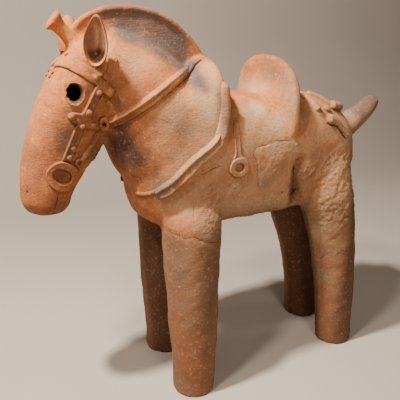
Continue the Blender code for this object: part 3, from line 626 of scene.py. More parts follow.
def tones(points):
    """How much of each tone the clay has at each point, 0 to 1.  The darkest tone is dirt only in part: on
    the lower legs, the inner and far legs, at the throat, under the jaw and the muzzle, in the haunch's
    crease, under the pommel's rim and the crupper's lump, behind the cantle, in the bit plate's hollow and in
    the eye holes it is painted shade."""
    x, y, z = points.T
    left = step(-y, -0.02, 0.02)
    drift = rough(points, 0.045, 11)
    fine = rough(points, 0.018, 15)
    crest = through([(-0.440, 0.0, 0.812), (-0.374, 0.0, 0.854), (-0.325, 0.0, MANE_TOP),
                     (-0.273, 0.0, 0.852), (-0.219, 0.0, 0.827), (-0.158, 0.0, 0.762)], 30)
    below_crest = distance_to(points * np.array([1.0, 0.0, 1.0]), crest)[0]
    foot = z - np.interp(x, (-0.363, -0.327, -0.294, -0.252, -0.190), (0.815, 0.798, 0.775, 0.745, 0.700))
    web = (0.62 + 0.38 * step(below_crest, 0.000, 0.012)) * step(foot + 0.012 * drift, -0.024, 0.012)
    web = web * step(-x, 0.178, 0.205)
    layers = {"smoke": web * step(x + 0.01 * fine, -0.398, -0.372) * (0.95 + 0.20 * drift)}

    def lay(name, amount, *blots):
        total = amount
        for middle, spread_out, strength, seed in blots:
            total = np.maximum(total, strength * blot(points, middle, spread_out, 0.9, seed))
        layers[name] = total

    lay("smoke", layers["smoke"],
        ((0.300, 0.0, 0.630), (0.090, 0.06, 0.075), 1.00, 21),
        ((-0.258, -0.107, 0.630), (0.026, 0.03, 0.050), 0.55, 22),
        ((-0.172, -0.112, 0.680), (0.011, 0.02, 0.060), 0.70, 23),
        ((-0.205, -0.146, 0.250), (0.026, 0.03, 0.110), 0.50, 24),
        # The next three blots, on the cheek beside the strap and under the eye, are partly a grey stain and
        # partly painted shade of the cheek's shaded side.
        ((-0.462, -0.052, 0.625), (0.022, 0.03, 0.055), 0.75, 25),
        ((-0.455, -0.055, 0.672), (0.020, 0.03, 0.014), 0.60, 26),
        ((-0.412, -0.060, 0.690), (0.034, 0.03, 0.050), 0.35, 19),
        ((0.014, -0.100, 0.690), (0.012, 0.06, 0.070), 0.40, 20),
        ((-0.275, -0.118, 0.395), (0.022, 0.03, 0.030), 0.55, 27),
        ((-0.268, -0.120, 0.330), (0.022, 0.04, 0.060), 0.50, 28),
        ((-0.010, -0.040, 0.730), (0.030, 0.07, 0.030), 0.48, 29),
        ((-0.060, -0.118, 0.500), (0.022, 0.03, 0.022), 0.45, 30),
        ((-0.300, -0.105, 0.510), (0.034, 0.03, 0.030), 0.75, 18),
        ((-0.405, -0.050, 0.585), (0.022, 0.03, 0.040), 0.60, 17))
    lay("pale", 0.0 * x,
        ((0.295, 0.0, 0.625), (0.070, 0.05, 0.060), 0.40, 44),
        # Painted light: the pommel's lower front is made paler where the light falls on it.
        ((-0.190, -0.112, 0.660), (0.026, 0.03, 0.055), 0.95, 45),
        ((-0.185, -0.070, 0.740), (0.030, 0.05, 0.030), 0.45, 46),
        ((-0.085, -0.116, 0.435), (0.070, 0.04, 0.040), 0.50, 47),
        ((-0.068, -0.088, 0.655), (0.026, 0.03, 0.018), 0.9, 31),
        ((-0.036, -0.106, 0.624), (0.020, 0.03, 0.016), 0.9, 32),
        ((-0.330, -0.060, 0.755), (0.055, 0.04, 0.022), 0.5, 33),
        ((-0.262, -0.130, 0.360), (0.030, 0.03, 0.040), 0.5, 34),
        ((0.112, -0.100, 0.340), (0.010, 0.03, 0.034), 0.9, 35),
        ((-0.020, 0.0, 0.690), (0.030, 0.08, 0.020), 0.5, 36),
        ((-0.300, -0.045, 0.780), (0.060, 0.03, 0.014), 0.3, 37),
        ((-0.055, -0.118, 0.575), (0.034, 0.03, 0.012), 0.5, 38))
    hind = step(x, 0.020, 0.090) * (0.75 + 0.35 * drift)
    belly = left * step(x, -0.160, -0.110) * step(-x, -0.060, -0.030) * step(-z, -0.492, -0.455)
    legs = step(-z, -0.450, -0.380) * (0.60 + 0.50 * drift)
    # Olive on the flank and the sides of the neck is partly the clay's khaki and partly painted light: these
    # sides, lit at a grazing angle, are made lighter and greyer.
    flank = step(x, -0.240, -0.215) * step(-z, -0.610, -0.570) * (0.70 + 0.35 * drift)
    sides = step(np.abs(y), 0.068, 0.104) * step(x, -0.345, -0.290) * (0.55 + 0.35 * drift)
    lay("olive", np.max([0.85 * hind, 0.90 * belly, 0.85 * legs, 0.85 * flank, sides], axis=0),
        ((0.165, -0.125, 0.440), (0.030, 0.04, 0.080), 0.65, 42),
        ((-0.200, -0.120, 0.520), (0.030, 0.03, 0.020), 0.50, 43))
    lay("rust", 0.50 * step(-z, -0.260, -0.040) * step(-x, -0.05, 0.05) * (0.6 + 0.5 * drift),
        ((0.062, -0.118, 0.500), (0.032, 0.04, 0.055), 0.95, 51),
        ((-0.185, -0.120, 0.480), (0.045, 0.04, 0.050), 0.75, 52),
        ((-0.130, -0.120, 0.535), (0.060, 0.04, 0.030), 0.55, 50),
        ((-0.030, -0.120, 0.535), (0.035, 0.04, 0.030), 0.70, 53),
        ((-0.225, -0.146, 0.382), (0.012, 0.03, 0.018), 0.80, 54),
        ((-0.530, -0.020, 0.520), (0.060, 0.06, 0.060), 0.55, 55),
        ((-0.230, -0.120, 0.030), (0.060, 0.06, 0.080), 0.75, 59),
        ((0.160, -0.110, 0.090), (0.060, 0.06, 0.070), 0.30, 56),
        ((-0.318, -0.085, 0.600), (0.020, 0.03, 0.040), 0.60, 57),
        ((-0.240, -0.105, 0.650), (0.030, 0.03, 0.022), 0.45, 58))
    # Painted shade: the lower legs and the low rump are made darker, as if less lit than the body.
    shin = (np.where(x < 0.0, 0.60, 0.44) * step(-z, -0.470, -0.390)
            + 0.42 * step(x, 0.160, 0.200) * step(-z, -0.590, -0.540))
    # Painted shade: the inner halves of the legs, where the body's shadow falls.
    inner = 0.90 * step(-np.abs(y), -0.100, -0.060) * step(-z, -0.440, -0.370)
    ahead = np.where(y < 0.0, EYE_AHEAD[-1], EYE_AHEAD[1])
    # Painted shade: the wall of each eye hole.
    socket = step(-np.hypot(x - ahead, (z - EYE_UP) / EYE_TALL), -1.02 * EYE_RADIUS, -0.93 * EYE_RADIUS)
    # The feet are darker in their last centimetre towards the floor.  All the blots but the first, at the
    # tail's tip, are painted shade: behind the cantle, under the crupper's lump, under the muzzle, in the
    # haunch's crease, at the throat, in the bit plate's hollow, under the pommel's rim and under the jaw.
    lay("soot", np.max([0.65 * step(-z, -0.012, -0.002) * (0.7 + 0.4 * fine), shin, inner, socket], axis=0),
        ((0.338, 0.0, 0.648), (0.022, 0.03, 0.022), 0.45, 60),
        ((0.032, -0.085, 0.668), (0.017, 0.05, 0.045), 0.62, 69),
        ((0.100, -0.094, 0.632), (0.011, 0.02, 0.009), 0.95, 16),
        ((-0.510, 0.0, 0.458), (0.070, 0.09, 0.034), 0.95, 61),
        ((0.030, -0.105, 0.460), (0.018, 0.04, 0.060), 0.85, 62),
        ((-0.335, -0.045, 0.570), (0.034, 0.05, 0.085), 0.75, 63),
        ((-0.346, -0.050, 0.588), (0.050, 0.06, 0.062), 1.20, 66),
        ((-0.481, -0.050, 0.551), (0.017, 0.02, 0.013), 0.60, 68),
        ((-0.140, -0.105, 0.655), (0.013, 0.03, 0.045), 0.50, 67),
        ((-0.355, -0.060, 0.635), (0.024, 0.04, 0.035), 0.45, 64),
        ((-0.400, 0.0, 0.580), (0.040, 0.03, 0.050), 0.55, 65))
    layers["mend"] = mended(points)
    return layers


def painted(mesh, points, **own):
    """Writes the tones on the mesh as attributes that the clay's material reads.  The piece's own tones
    are laid over the ones that its place on the horse gives it."""
    layers = tones(points)
    for name, amount in layers.items():
        layers[name] = np.clip(np.maximum(amount, own.pop(name, 0.0)), 0.0, 1.0)
    layers.update(own)
    for name, amount in layers.items():
        layer = mesh.attributes.new(name, "FLOAT", "POINT")
        layer.data.foreach_set("value", amount.astype(np.float32))


# ------------------------------------------------------------------ the skin
def joints(points):
    """Where one loft was luted to another and wiped smooth, 0 to 1."""
    total = np.zeros(len(points))
    for side, _ in SIDES:
        for middle, spread_out in (((-0.215, side * 0.118, 0.480), (0.080, 0.040, 0.050)),
                                   ((0.130, side * 0.105, 0.535), (0.080, 0.050, 0.060)),
                                   ((-0.265, side * 0.085, 0.690), (0.045, 0.050, 0.060)),
                                   ((-0.235, side * 0.118, 0.600), (0.060, 0.040, 0.070)),
                                   ((-0.315, side * 0.060, 0.500), (0.040, 0.060, 0.045)),
                                   ((-0.390, side * 0.045, 0.700), (0.020, 0.040, 0.060)),
                                   ((-0.402, side * 0.055, 0.775), (0.020, 0.025, 0.020)),
                                   ((-0.300, side * 0.055, 0.770), (0.100, 0.030, 0.030)),
                                   ((-0.022, side * 0.060, 0.692), (0.016, 0.060, 0.018)),
                                   ((-0.016, side * 0.108, 0.650), (0.012, 0.020, 0.045))):
            total += blot(points, middle, spread_out)
    total += blot(points, (0.212, 0.0, 0.575), (0.028, 0.050, 0.045))
    total += blot(points, (-0.300, 0.0, 0.440), (0.050, 0.080, 0.050))
    total += blot(points, (-0.425, 0.0, 0.785), (0.020, 0.025, 0.020))
    return np.clip(1.3 * total, 0.0, 1.0)


def dents(points):
    """How far the surface stands out from the plain lofts: slow unevenness of hand building, shallow
    slanting scrapes on the hind quarter, flaked filler on the mended parts, and a swelling round the eyes.
    Flakes are a noise folded at zero, which leaves ridges between soft pits."""
    mend = mended(points)
    x, y, z = points.T
    slant = math.radians(35.0)
    scraped = np.stack([0.33 * (x * math.cos(slant) + z * math.sin(slant)), y,
                        z * math.cos(slant) - x * math.sin(slant)], axis=1)
    hind = step(-y, 0.0, 0.05) * step(x, 0.03, 0.09) * step(-z, -0.60, -0.54)
    worn = np.maximum(hind, step(-z, -0.46, -0.40))
    lump = 0.0016 * rough(points, 0.090, 71, 2) + 0.0006 * rough(points, 0.030, 74, 2)
    scrapes = 0.0010 * rough(scraped, 0.020, 77, 3) * (0.25 + 0.75 * worn)
    patch = step(x, -0.100, -0.085) * step(-x, -0.040, -0.025) * step(z, 0.480, 0.500)
    flakes = (0.0021 * (1.0 - patch) * (0.35 - np.abs(rough(scraped, 0.014, 81, 3)))
              + 0.0017 * rough(points, 0.006, 84, 2)) * mend
    ahead, above = x - REIN_FOOT[0], z - REIN_FOOT[1]
    behind = REIN_UP * ahead - REIN_BACK * above
    along = REIN_BACK * ahead + REIN_UP * above
    stepped = (-CHEEK_STEP * step(behind, 0.004, 0.010) * step(-behind, -0.075, -0.045)
               * step(along, -0.040, -0.005) * step(-along, -0.085, -0.060) * step(np.abs(y), 0.015, 0.035))
    swelling = 0.0
    for side, _ in SIDES:
        swelling = swelling + 0.0025 * blot(points, (-0.446, side * 0.060, 0.706), (0.024, 0.030, 0.026))
    return lump + scrapes + flakes + swelling + stepped


def crack_distance(points, normals, path):
    """Distance along the surface to a path, with a minus sign on one side of it, and how far along the
    path the nearest place is.  The part along the normal is left out, and a path of one run has no sign."""
    path = np.asarray(path, float)
    best = np.full(len(points), 1.0)
    along = np.zeros(len(points))
    for number, (start, end) in enumerate(zip(path[:-1], path[1:])):
        run = end - start
        share = np.clip(((points - start) @ run) / (run @ run), 0.0, 1.0)
        apart = points - start - share[:, None] * run
        lifted = (apart * normals).sum(axis=1)
        flat = apart - lifted[:, None] * normals
        away = np.linalg.norm(flat, axis=1)
        away = np.where(np.abs(lifted) < OFF_SURFACE, away, 1.0)
        behind = (np.cross(run, normals) * apart).sum(axis=1) < 0.0
        signed = np.where(behind & (len(path) > 2), -away, away)
        nearer = away < np.abs(best)
        best[nearer] = signed[nearer]
        along[nearer] = (number + share[nearer]) / (len(path) - 1)
    return best, along


def lees():
    """Dark grooves beside the straps, on their lower rear side, in the form of a row of the cracks: the
    strap's path moved square to itself, on both sides of the horse.  They stand for the shadow that the
    undercut throws under a light from the front left, which the studio's lights make too faint."""
    for path, out, line in ((CHEEK_STRAP, 0.0100, 0.0017), (UPPER_REIN, 0.0112, 0.0024),
                            (LOWER_REIN, 0.0054, 0.0012), (BROWBAND, 0.0128, 0.0009),
                            (CRUPPER_DROP, 0.0100, 0.0034), (CRUPPER_LOW_LUMP, 0.0115, 0.0028),
                            (CRUPPER_TOP_LUMP, 0.0120, 0.0028)):
        path = np.asarray(path, float)
        along = unit(np.gradient(path[:, (0, 2)], axis=0))
        lee = np.stack([-along[:, 1], 0.0 * along[:, 0], along[:, 0]], axis=1)
        lee = lee * np.sign((lee[:, 0] - lee[:, 2]).mean())
        for side, _ in SIDES:
            yield on_side(path + out * lee, side), LEE_HALF_WIDTH, LEE_DEPTH, line


def cracked(mesh):
    """Presses the grooves in.  Returns the distance to the nearest crack in millimetres, with its sign,
    and the half width of its dark line in millimetres, which is nothing away from the crack and past its
    ends: the material draws each line from these two, finer than the mesh."""
    points = read_points(mesh)
    normals = read_normals(mesh)
    nearest = np.full(len(points), REACH)
    wide = np.zeros(len(points))
    sunk = np.zeros(len(points))
    for path, half, depth, line in itertools.chain(CRACKS, lees()):
        low = np.min(path, axis=0) - 0.016
        high = np.max(path, axis=0) + 0.016
        near = np.flatnonzero(((points > low) & (points < high)).all(axis=1))
        away, along = crack_distance(points[near], normals[near], path)
        uneven = np.clip(0.85 + 0.45 * rough(points[near], 0.020, 101), 0.2, 1.3)
        tapered = 1.0 if len(path) == 2 else step(np.minimum(along, 1.0 - along), -0.02, 0.12)
        bell = np.exp(-(away / half) ** 2) * uneven * tapered
        sunk[near] = np.maximum(sunk[near], depth * bell)
        closer = (np.abs(away) < np.abs(nearest[near])) & (np.abs(away) < REACH)
        at = near[closer]
        nearest[at] = away[closer]
        wide[at] = (line * uneven * tapered * step(-np.abs(away), -0.85 * REACH, -0.55 * REACH))[closer]
    write_points(mesh, points - sunk[:, None] * normals)
    return 1000.0 * nearest, 1000.0 * wide


def skin():
    """Fuses the lofts, wipes the joints, dents the surface, thins it out and cracks it."""
    clay = fused_clay()
    mesh = clay.data
    points = read_points(mesh)
    edges = read_edges(mesh)
    points = evened(points, edges, 0.5, 5, 1.03)
    wiped = joints(points)[:, None]
    points = evened(points, edges, 0.7 * wiped, 45)
    write_points(mesh, points)
    points = points + dents(points)[:, None] * read_normals(mesh)
    points[:, 2] = np.where(points[:, 2] < CUT_FLAT, 0.0, points[:, 2])
    write_points(mesh, points)
    thinning = clay.modifiers.new("thinning", "DECIMATE")
    thinning.ratio = min(1.0, SKIN_FACES / (2.0 * len(mesh.polygons)))
    mesh = evaluated(clay)
    # Distances to the cracks and to the lees, whose dark lines are painted shadow.
    away, wide = cracked(mesh)
    low, high = (np.array(corner) - slide for corner in (cad_low, cad_high))
    write_points(mesh, np.clip(read_points(mesh), low + SNUG, high - SNUG))
    painted(mesh, read_points(mesh), crack_away=away, crack_wide=wide)
    return clay


class Surface:
    """The finished clay, as something that straps and pellets can be laid on."""

    def __init__(self, mesh):
        self.points = read_points(mesh)
        self.normals = read_normals(mesh)

    def touch(self, spots):
        """Each spot dropped on to the mean plane of the nearest vertices, and the outward direction."""
        flat = spots.reshape(-1, 3)
        low, high = flat.min(axis=0) - 0.025, flat.max(axis=0) + 0.025
        near = ((self.points > low) & (self.points < high)).all(axis=1)
        points, normals = self.points[near], self.normals[near]
        feet, out = np.empty_like(flat), np.empty_like(flat)
        for start in range(0, len(flat), 300):
            part = flat[start:start + 300]
            away = ((part[:, None] - points[None]) ** 2).sum(axis=2)
            nearest = np.argpartition(away, NEIGHBOURS, axis=1)[:, :NEIGHBOURS]
            weight = 1.0 / (np.take_along_axis(away, nearest, axis=1)[..., None] + 4e-6)
            middle = (weight * points[nearest]).sum(axis=1) / weight.sum(axis=1)
            normal = unit((weight * normals[nearest]).sum(axis=1))
            lifted = ((part - middle) * normal).sum(axis=1, keepdims=True)
            feet[start:start + 300] = part - lifted * normal
            out[start:start + 300] = normal
        return feet.reshape(spots.shape), out.reshape(spots.shape)


# ------------------------------------------------------------------ laying clay on the skin
def calmed(values, rounds):
    """Rows evened out along the path: a quarter, a half, a quarter."""
    values = values.copy()
    for _ in range(rounds):
        values[1:-1] = 0.25 * values[:-2] + 0.5 * values[1:-1] + 0.25 * values[2:]
    return values


def finished(name, mesh, **more):
    """Object of one piece of clay, painted, smooth and in its place; more gives the piece's own tones."""
    painted(mesh, read_points(mesh), **more)
    mesh.shade_smooth()
    return added(name, mesh)


def on_side(path, side):
    """A path given for the left side, moved to the side asked for."""
    return np.asarray(path, float) * np.array([1.0, -side, 1.0])


# A section is rows of place across, from -1 to 1, and level, where 1 is the full height and None is the
# edge pressed into the clay.  An edge row that lies further in than the one over it is undercut.
FLAT = ((-0.95, None), (-1.00, 0.35), (-0.97, 0.75), (-0.86, 0.98), (-0.60, 1.00), (-0.20, 0.93),
        (0.20, 0.93), (0.60, 1.00), (0.86, 0.98), (0.97, 0.75), (1.00, 0.35), (0.95, None))
ROUND = ((-1.00, None), (-0.98, 0.30), (-0.85, 0.66), (-0.55, 0.92), (-0.20, 1.00), (0.20, 1.00),
         (0.55, 0.92), (0.85, 0.66), (0.98, 0.30), (1.00, None))
RIMMED = ((-0.94, None), (-1.00, 0.45), (-0.96, 0.95), (-0.85, 1.18), (-0.70, 1.08), (-0.55, 0.80),
          (-0.25, 0.72), (0.15, 0.72), (0.55, 0.80), (0.83, 0.84), (0.96, 0.66), (1.00, 0.30), (0.94, None))
LIPPED = ((-1.00, None), (-0.95, 0.04), (-0.60, 0.30), (-0.20, 0.58), (0.30, 0.86), (0.70, 1.05),
          (0.92, 0.98), (1.00, 0.50), (0.93, None))
BANDED = ((-1.00, None), (-0.98, 0.05), (-0.85, 0.30), (-0.68, 0.72), (-0.52, 1.00), (-0.40, 1.04),
          (-0.28, 0.93), (-0.18, 0.72), (-0.05, 0.66), (0.25, 0.70), (0.55, 0.78), (0.75, 0.84),
          (0.88, 0.80), (0.97, 0.50), (1.00, 0.15), (0.97, None))
REIN_FORE = ((-0.90, None), (-1.00, 0.28), (-0.92, 0.48), (-0.70, 0.60), (-0.45, 0.66), (-0.22, 0.50),
             (-0.05, 0.62), (0.10, 0.92), (0.24, 1.02), (0.40, 0.84), (0.62, 0.42), (0.86, 0.12),
             (1.00, None))
REIN_AFT = ((-0.90, None), (-1.00, 0.30), (-0.96, 0.55), (-0.80, 0.74), (-0.50, 0.80), (-0.20, 0.86),
            (0.05, 0.93), (0.25, 1.00), (0.42, 0.98), (0.58, 0.74), (0.74, 0.38), (0.90, 0.12),
            (1.00, None))


def grime(section, last):
    """How much painted shade each row of a section gets: as much as it lies under the rows on both sides
    of it, and nearly all down the lower rear edge, which is the last one or the first."""
    level = np.array([-0.2 if row is None else row for _, row in section])
    before = np.maximum.accumulate(level)
    after = np.maximum.accumulate(level[::-1])[::-1]
    held = np.clip((np.minimum(before, after) - level) / 0.35, 0.0, 1.0)
    held[slice(-2, None) if last else slice(None, 2)] = 0.90
    return held


def strap(surface, name, side, path, stations, half_width, height, sections, ends, seed):
    """Band laid along a rough path.  The line is dropped on to the clay; at each station the section's
    points are spread across it, dropped again, and raised along the outward direction by level times
    height.  The first section passes into the last one over the middle of the path, and width and height
    waver a little, as hand-rolled clay does."""
    line, out = surface.touch(through(on_side(path, side), stations))
    line, out = calmed(line, 4), unit(calmed(out, 6))
    along = unit(np.gradient(line, axis=0))
    across = -side * unit(np.cross(out, along))
    t = np.linspace(0.0, 1.0, stations)
    waver = 1.0 + 0.10 * rough(line, 0.025, 201 + seed, 2)
    share = np.interp(t, (0.0, 0.12, 0.88, 1.0), (ends[0], 1.0, 1.0, ends[1]))
    wide = half_width * waver * share
    high = height * (1.0 + 0.12 * rough(line, 0.018, 211 + seed, 2)) * np.clip(0.1 + share, 0.0, 1.0)
    high = high * np.interp(t, (0.0, 0.03, 0.97, 1.0), (0.7, 1.0, 1.0, 0.7))
    places = np.array([place for place, _ in sections[0]])
    passed = step(t, 0.35, 0.65)
    feet, normals = surface.touch(line[:, None] + (wide[:, None] * places)[..., None] * across[:, None])
    normals = unit(calmed(normals, 4))
    feet = calmed(feet, 1)
    lift = np.stack([np.full(stations, -ROOT) if first is None else (first + passed * (last - first)) * high
                     for (_, first), (_, last) in zip(sections[0], sections[-1])], axis=1)
    # Painted shade: the rows in the strap's hollows and along its lower rear edge are darkened.
    first, last = (grime(section, (across[:, 0] - across[:, 2]).mean() > 0.0)
                   for section in (sections[0], sections[-1]))
    dirt = np.r_[(first + passed[:, None] * (last - first)).ravel(), 0.0, 0.0]
    # Painted shade over the whole of the cheek strap.
    worn = 0.34 if name.startswith("cheek") else 0.0
    return finished(name, grid_mesh(name, feet + lift[..., None] * normals),
                    soot=np.maximum(0.70 * dirt, worn))


def in_surface(normal):
    """Two directions in the surface: the first is as level as it can be, the second points up it."""
    level = unit(np.cross(normal, [0.0, 0.0, 1.0]))
    return level, np.cross(level, normal)


def disc(surface, name, spot, outline, profile, worn, sides):
    """Pat of clay pressed on.  Outline gives the radius at each angle, and the profile's rows give the
    share of that radius and the height over the clay, from the middle out; the last row is pressed in.
    The sixth argument darkens the whole of it with painted shade."""
    (spot,), (normal,) = surface.touch(np.array([spot]))
    level, uphill = in_surface(normal)
    angle = turn(sides)
    radius = outline(angle)
    circle = np.cos(angle)[:, None] * level + np.sin(angle)[:, None] * uphill
    shares = np.array([share for share, _ in profile])
    lift = np.array([height for _, height in profile])
    feet, normals = surface.touch(spot + (shares[:, None] * radius)[..., None] * circle)
    blend = unit(0.6 * normals + 0.4 * normal)
    # Painted shadow: the foot of the pat is darkened on its lower side, away from the light.
    low = step(-lift / lift.max(), -0.75, -0.10)[:, None] * step(-np.sin(angle + 0.6), -0.2, 0.6)[None, :]
    return finished(name, grid_mesh(name, feet + lift[:, None, None] * blend),
                    soot=np.maximum(0.75 * np.r_[low.ravel(), 0.0, 0.0], worn))


def pellet(surface, name, spot, radius, height, seed):
    """Ball of clay pressed flat: a dome with a nearly upright side."""
    def outline(angle):
        return radius * (1.0 + 0.05 * np.sin(2 * angle + seed) + 0.04 * np.sin(3 * angle + 2 * seed))
    profile = ((0.03, height), (0.30, 0.985 * height), (0.55, 0.93 * height), (0.76, 0.82 * height),
               (0.91, 0.62 * height), (0.99, 0.38 * height), (1.0, 0.15 * height), (0.97, -ROOT))
    # Studs on the cross plates are darkened all over with painted shade.
    return disc(surface, name, spot, outline, profile, 0.24 if name.startswith("cross") else 0.0, 28)


def cross_plate(surface, name, spot, studs, height):
    """Flat plate under four studs: a disc with a lobe towards each of them."""
    (middle,), (normal,) = surface.touch(np.array([spot]))
    level, uphill = in_surface(normal)
    away = np.asarray(studs) - middle
    towards = np.arctan2(away @ uphill, away @ level)
    reach = np.linalg.norm(away, axis=1) + 0.0088

    def outline(angle):
        lobes = [size * np.exp(-((np.angle(np.exp(1j * (angle - at)))) / 0.52) ** 2)
                 for at, size in zip(towards, reach - 0.0120)]
        return 0.0120 + np.max(lobes, axis=0)
    profile = ((0.02, height), (0.40, height), (0.80, 1.02 * height), (0.93, 1.04 * height),
               (0.985, 0.80 * height), (1.0, 0.40 * height), (0.96, -ROOT))
    # The cross plate is darkened all over with painted shade.
    return disc(surface, name, spot, outline, profile, 0.36, 96)


def hoop(surface, name, spot, hole, rim, height, slope, lip, power):
    """Flat oval ring pressed on: half axes of its hole and of its rim, and its height; slope turns the
    long axis from level, in degrees; lip raises the rim's edge; a power over 2 squares the rim off."""
    (spot,), (normal,) = surface.touch(np.array([spot]))
    level, uphill = in_surface(normal)
    lean = math.radians(slope)
    first = math.cos(lean) * level + math.sin(lean) * uphill
    second = np.cross(normal, first)
    angle = turn(72)[None, :]
    root = -ROOT / height
    section = np.array(((-0.94, root), (-1.00, 0.45), (-0.93, 0.82), (-0.75, 1.0), (-0.30, 0.97),
                        (0.30, 0.97), (0.70, 1.0 + lip), (0.88, 0.95 + lip), (1.00, 0.50), (0.94, root)))
    share = 0.5 + 0.5 * section[:, 0:1]
    uneven = 1.0 + 0.03 * np.sin(3 * angle + 1.0) + 0.02 * np.sin(5 * angle)
    inner = [half * wave for half, wave in zip(hole, (np.cos(angle), np.sin(angle)))]
    outer = [half * uneven * squared(wave, power)
             for half, wave in zip(rim, (np.cos(angle), np.sin(angle)))]
    reach = [near + share * (far - near) for near, far in zip(inner, outer)]
    feet, normals = surface.touch(spot + reach[0][..., None] * first + reach[1][..., None] * second)
    blend = unit(0.5 * normals + 0.5 * normal)
    rings = feet + (section[:, 1:2] * height)[..., None] * blend
    # Painted shade: the ring is darkened round its foot, where it meets the clay.
    low = step(-section[:, 1:2], -0.90, -0.30) * np.ones_like(angle)
    return finished(name, grid_mesh(name, rings, looped=True), soot=0.60 * low.ravel())


# ------------------------------------------------------------------ ears and the eyes' edges
def ear(side):
    """Cupped leaf: a bowl over a leaf outline, deepest low down, with its mouth turned out and forward.
    Rings run from the deepest point of the hollow over the lip to the back of the cup."""
    long_axis = np.array(EAR_LENGTH[side])
    length = np.linalg.norm(long_axis)
    long_axis = long_axis / length
    face = np.array([-0.38, side * 0.92, 0.0])
    face = unit(face - long_axis * face.dot(long_axis))
    broad = np.cross(long_axis, face)
    foot = np.array(EAR_FOOT[side])
    angle = turn(120)
    climb = 0.5 - 0.5 * np.cos(angle)
    along = length * climb
    across = EAR_HALF_WIDTH * np.sin(angle) * (1.0 - 0.30 * climb**2) / 0.93
    uneven = 1.0 + 0.020 * np.sin(3 * angle + side) - 0.020
    pit = 0.25 * length
    profile = through([(0.02, 0.0280, 0), (0.09, 0.0272, 0), (0.17, 0.0252, 0), (0.30, 0.0225, 0),
                       (0.50, 0.0185, 0), (0.68, 0.0130, 0), (0.82, 0.0065, 0), (0.905, 0.0015, 0),
                       (0.95, 0.0, 0), (0.985, 0.0012, 0), (1.0, 0.0042, 0), (0.97, 0.0090, 0),
                       (0.88, 0.0160, 0), (0.70, 0.0235, 0), (0.45, 0.0300, 0), (0.20, 0.0345, 0),
                       (0.03, 0.0360, 0)], 56)
    out = np.minimum(profile[:, 0:1], 1.0)
    deep = profile[:, 1:2]
    spread = pit + out * (along * uneven - pit)
    rings = (foot + spread[..., None] * long_axis + (out * across * uneven)[..., None] * broad
             - deep[..., None] * face)
    # Painted light and shade inside the cup: the whole inside a little paler and the rear wall much paler, as
    # if lit, the front wall greyer and the deep bottom dark, as if in shade.
    inside = step(-np.arange(len(profile)), -27.0, -23.0)[:, None]
    height = spread / length
    orange = inside * step(height, 0.66, 0.84)
    rear = step(np.sin(angle)[None, :] * out, -0.50, 0.10)
    grey = inside * step(height, 0.22, 0.40) * step(-height, -0.82, -0.68) * (1.0 - rear)
    cream = inside * step(height, 0.22, 0.40) * step(-height, -0.86, -0.70) * rear
    dark = inside * step(-height, -0.38, -0.22) * step(deep, 0.004, 0.014)
    tip, fore, aft, bottom = (np.r_[tone.ravel(), tone[0].mean(), tone[-1].mean()]
                              for tone in (0.4 * orange, 0.45 * grey,
                                           0.25 * inside + 0.75 * cream, 0.92 * dark))
    name = "ear_" + dict(SIDES)[side]
    return finished(name, grid_mesh(name, rings), rust=tip, smoke=fore, pale=aft, soot=bottom)


def eye_rim(surface, side):
    """Thin rolled edge round the eye's hole: a round section carried along an oval laid on the clay."""
    angle = turn(96)
    away = np.stack([np.cos(angle), np.zeros(96), np.sin(angle)], axis=1)
    oval = (np.array([EYE_AHEAD[side], side * 0.072, EYE_UP])
            + 0.96 * EYE_RADIUS * away * np.array([1.0, 1.0, EYE_TALL]))
    feet, normals = surface.touch(oval)
    away = unit(away - (away * normals).sum(axis=1)[:, None] * normals)
    section = turn(16)[:, None, None]
    rings = feet + 0.0013 * (np.cos(section) * away + np.sin(section) * normals)
    name = "eye_rim_" + dict(SIDES)[side]
    return finished(name, grid_mesh(name, rings, looped=True))


# ------------------------------------------------------------------ harness (left side; mirrored on the right)
HEADSTALL = ((-0.393, -0.060, 0.714), (-0.386, -0.066, 0.728), (-0.377, -0.067, 0.743),
             (-0.374, -0.064, 0.758), (-0.370, -0.060, 0.772))
BROWBAND = ((-0.402, -0.057, 0.728), (-0.416, -0.056, 0.738), (-0.430, -0.054, 0.748),
            (-0.445, -0.045, 0.757), (-0.458, -0.030, 0.762), (-0.465, -0.016, 0.762),
            (-0.469, -0.004, 0.760))
CHEEK_STRAP = ((-0.392, -0.058, 0.722), (-0.405, -0.057, 0.705), (-0.417, -0.057, 0.684),
               (-0.430, -0.056, 0.662), (-0.443, -0.055, 0.640), (-0.451, -0.054, 0.621),
               (-0.460, -0.053, 0.601), (-0.470, -0.052, 0.578))
LOWER_REIN = ((-0.444, -0.048, 0.576), (-0.428, -0.048, 0.593), (-0.416, -0.048, 0.609),
              (-0.402, -0.050, 0.627))
UPPER_REIN = ((-0.388, -0.060, 0.642), (-0.371, -0.065, 0.652), (-0.340, -0.082, 0.672),
              (-0.301, -0.087, 0.696), (-0.263, -0.079, 0.719), (-0.228, -0.056, 0.732),
              (-0.205, -0.038, 0.739), (-0.180, -0.030, 0.753))
POMMEL_FOOT = ((-0.157, -0.106, 0.722), (-0.160, -0.112, 0.695), (-0.165, -0.115, 0.660),
               (-0.170, -0.116, 0.630), (-0.178, -0.117, 0.604))
BREAST_STRAP = ((-0.172, -0.116, 0.618), (-0.181, -0.117, 0.602), (-0.194, -0.118, 0.591),
                (-0.228, -0.120, 0.570), (-0.258, -0.116, 0.541), (-0.286, -0.104, 0.514),
                (-0.302, -0.092, 0.500))
BREAST_RIDGE = ((-0.290, -0.101, 0.519), (-0.304, -0.088, 0.507), (-0.316, -0.068, 0.498),
                (-0.326, -0.042, 0.493))
STIRRUP_STRAP = ((-0.131, -0.104, 0.640), (-0.134, -0.110, 0.622), (-0.135, -0.116, 0.600),
                 (-0.134, -0.118, 0.580), (-0.134, -0.119, 0.564))
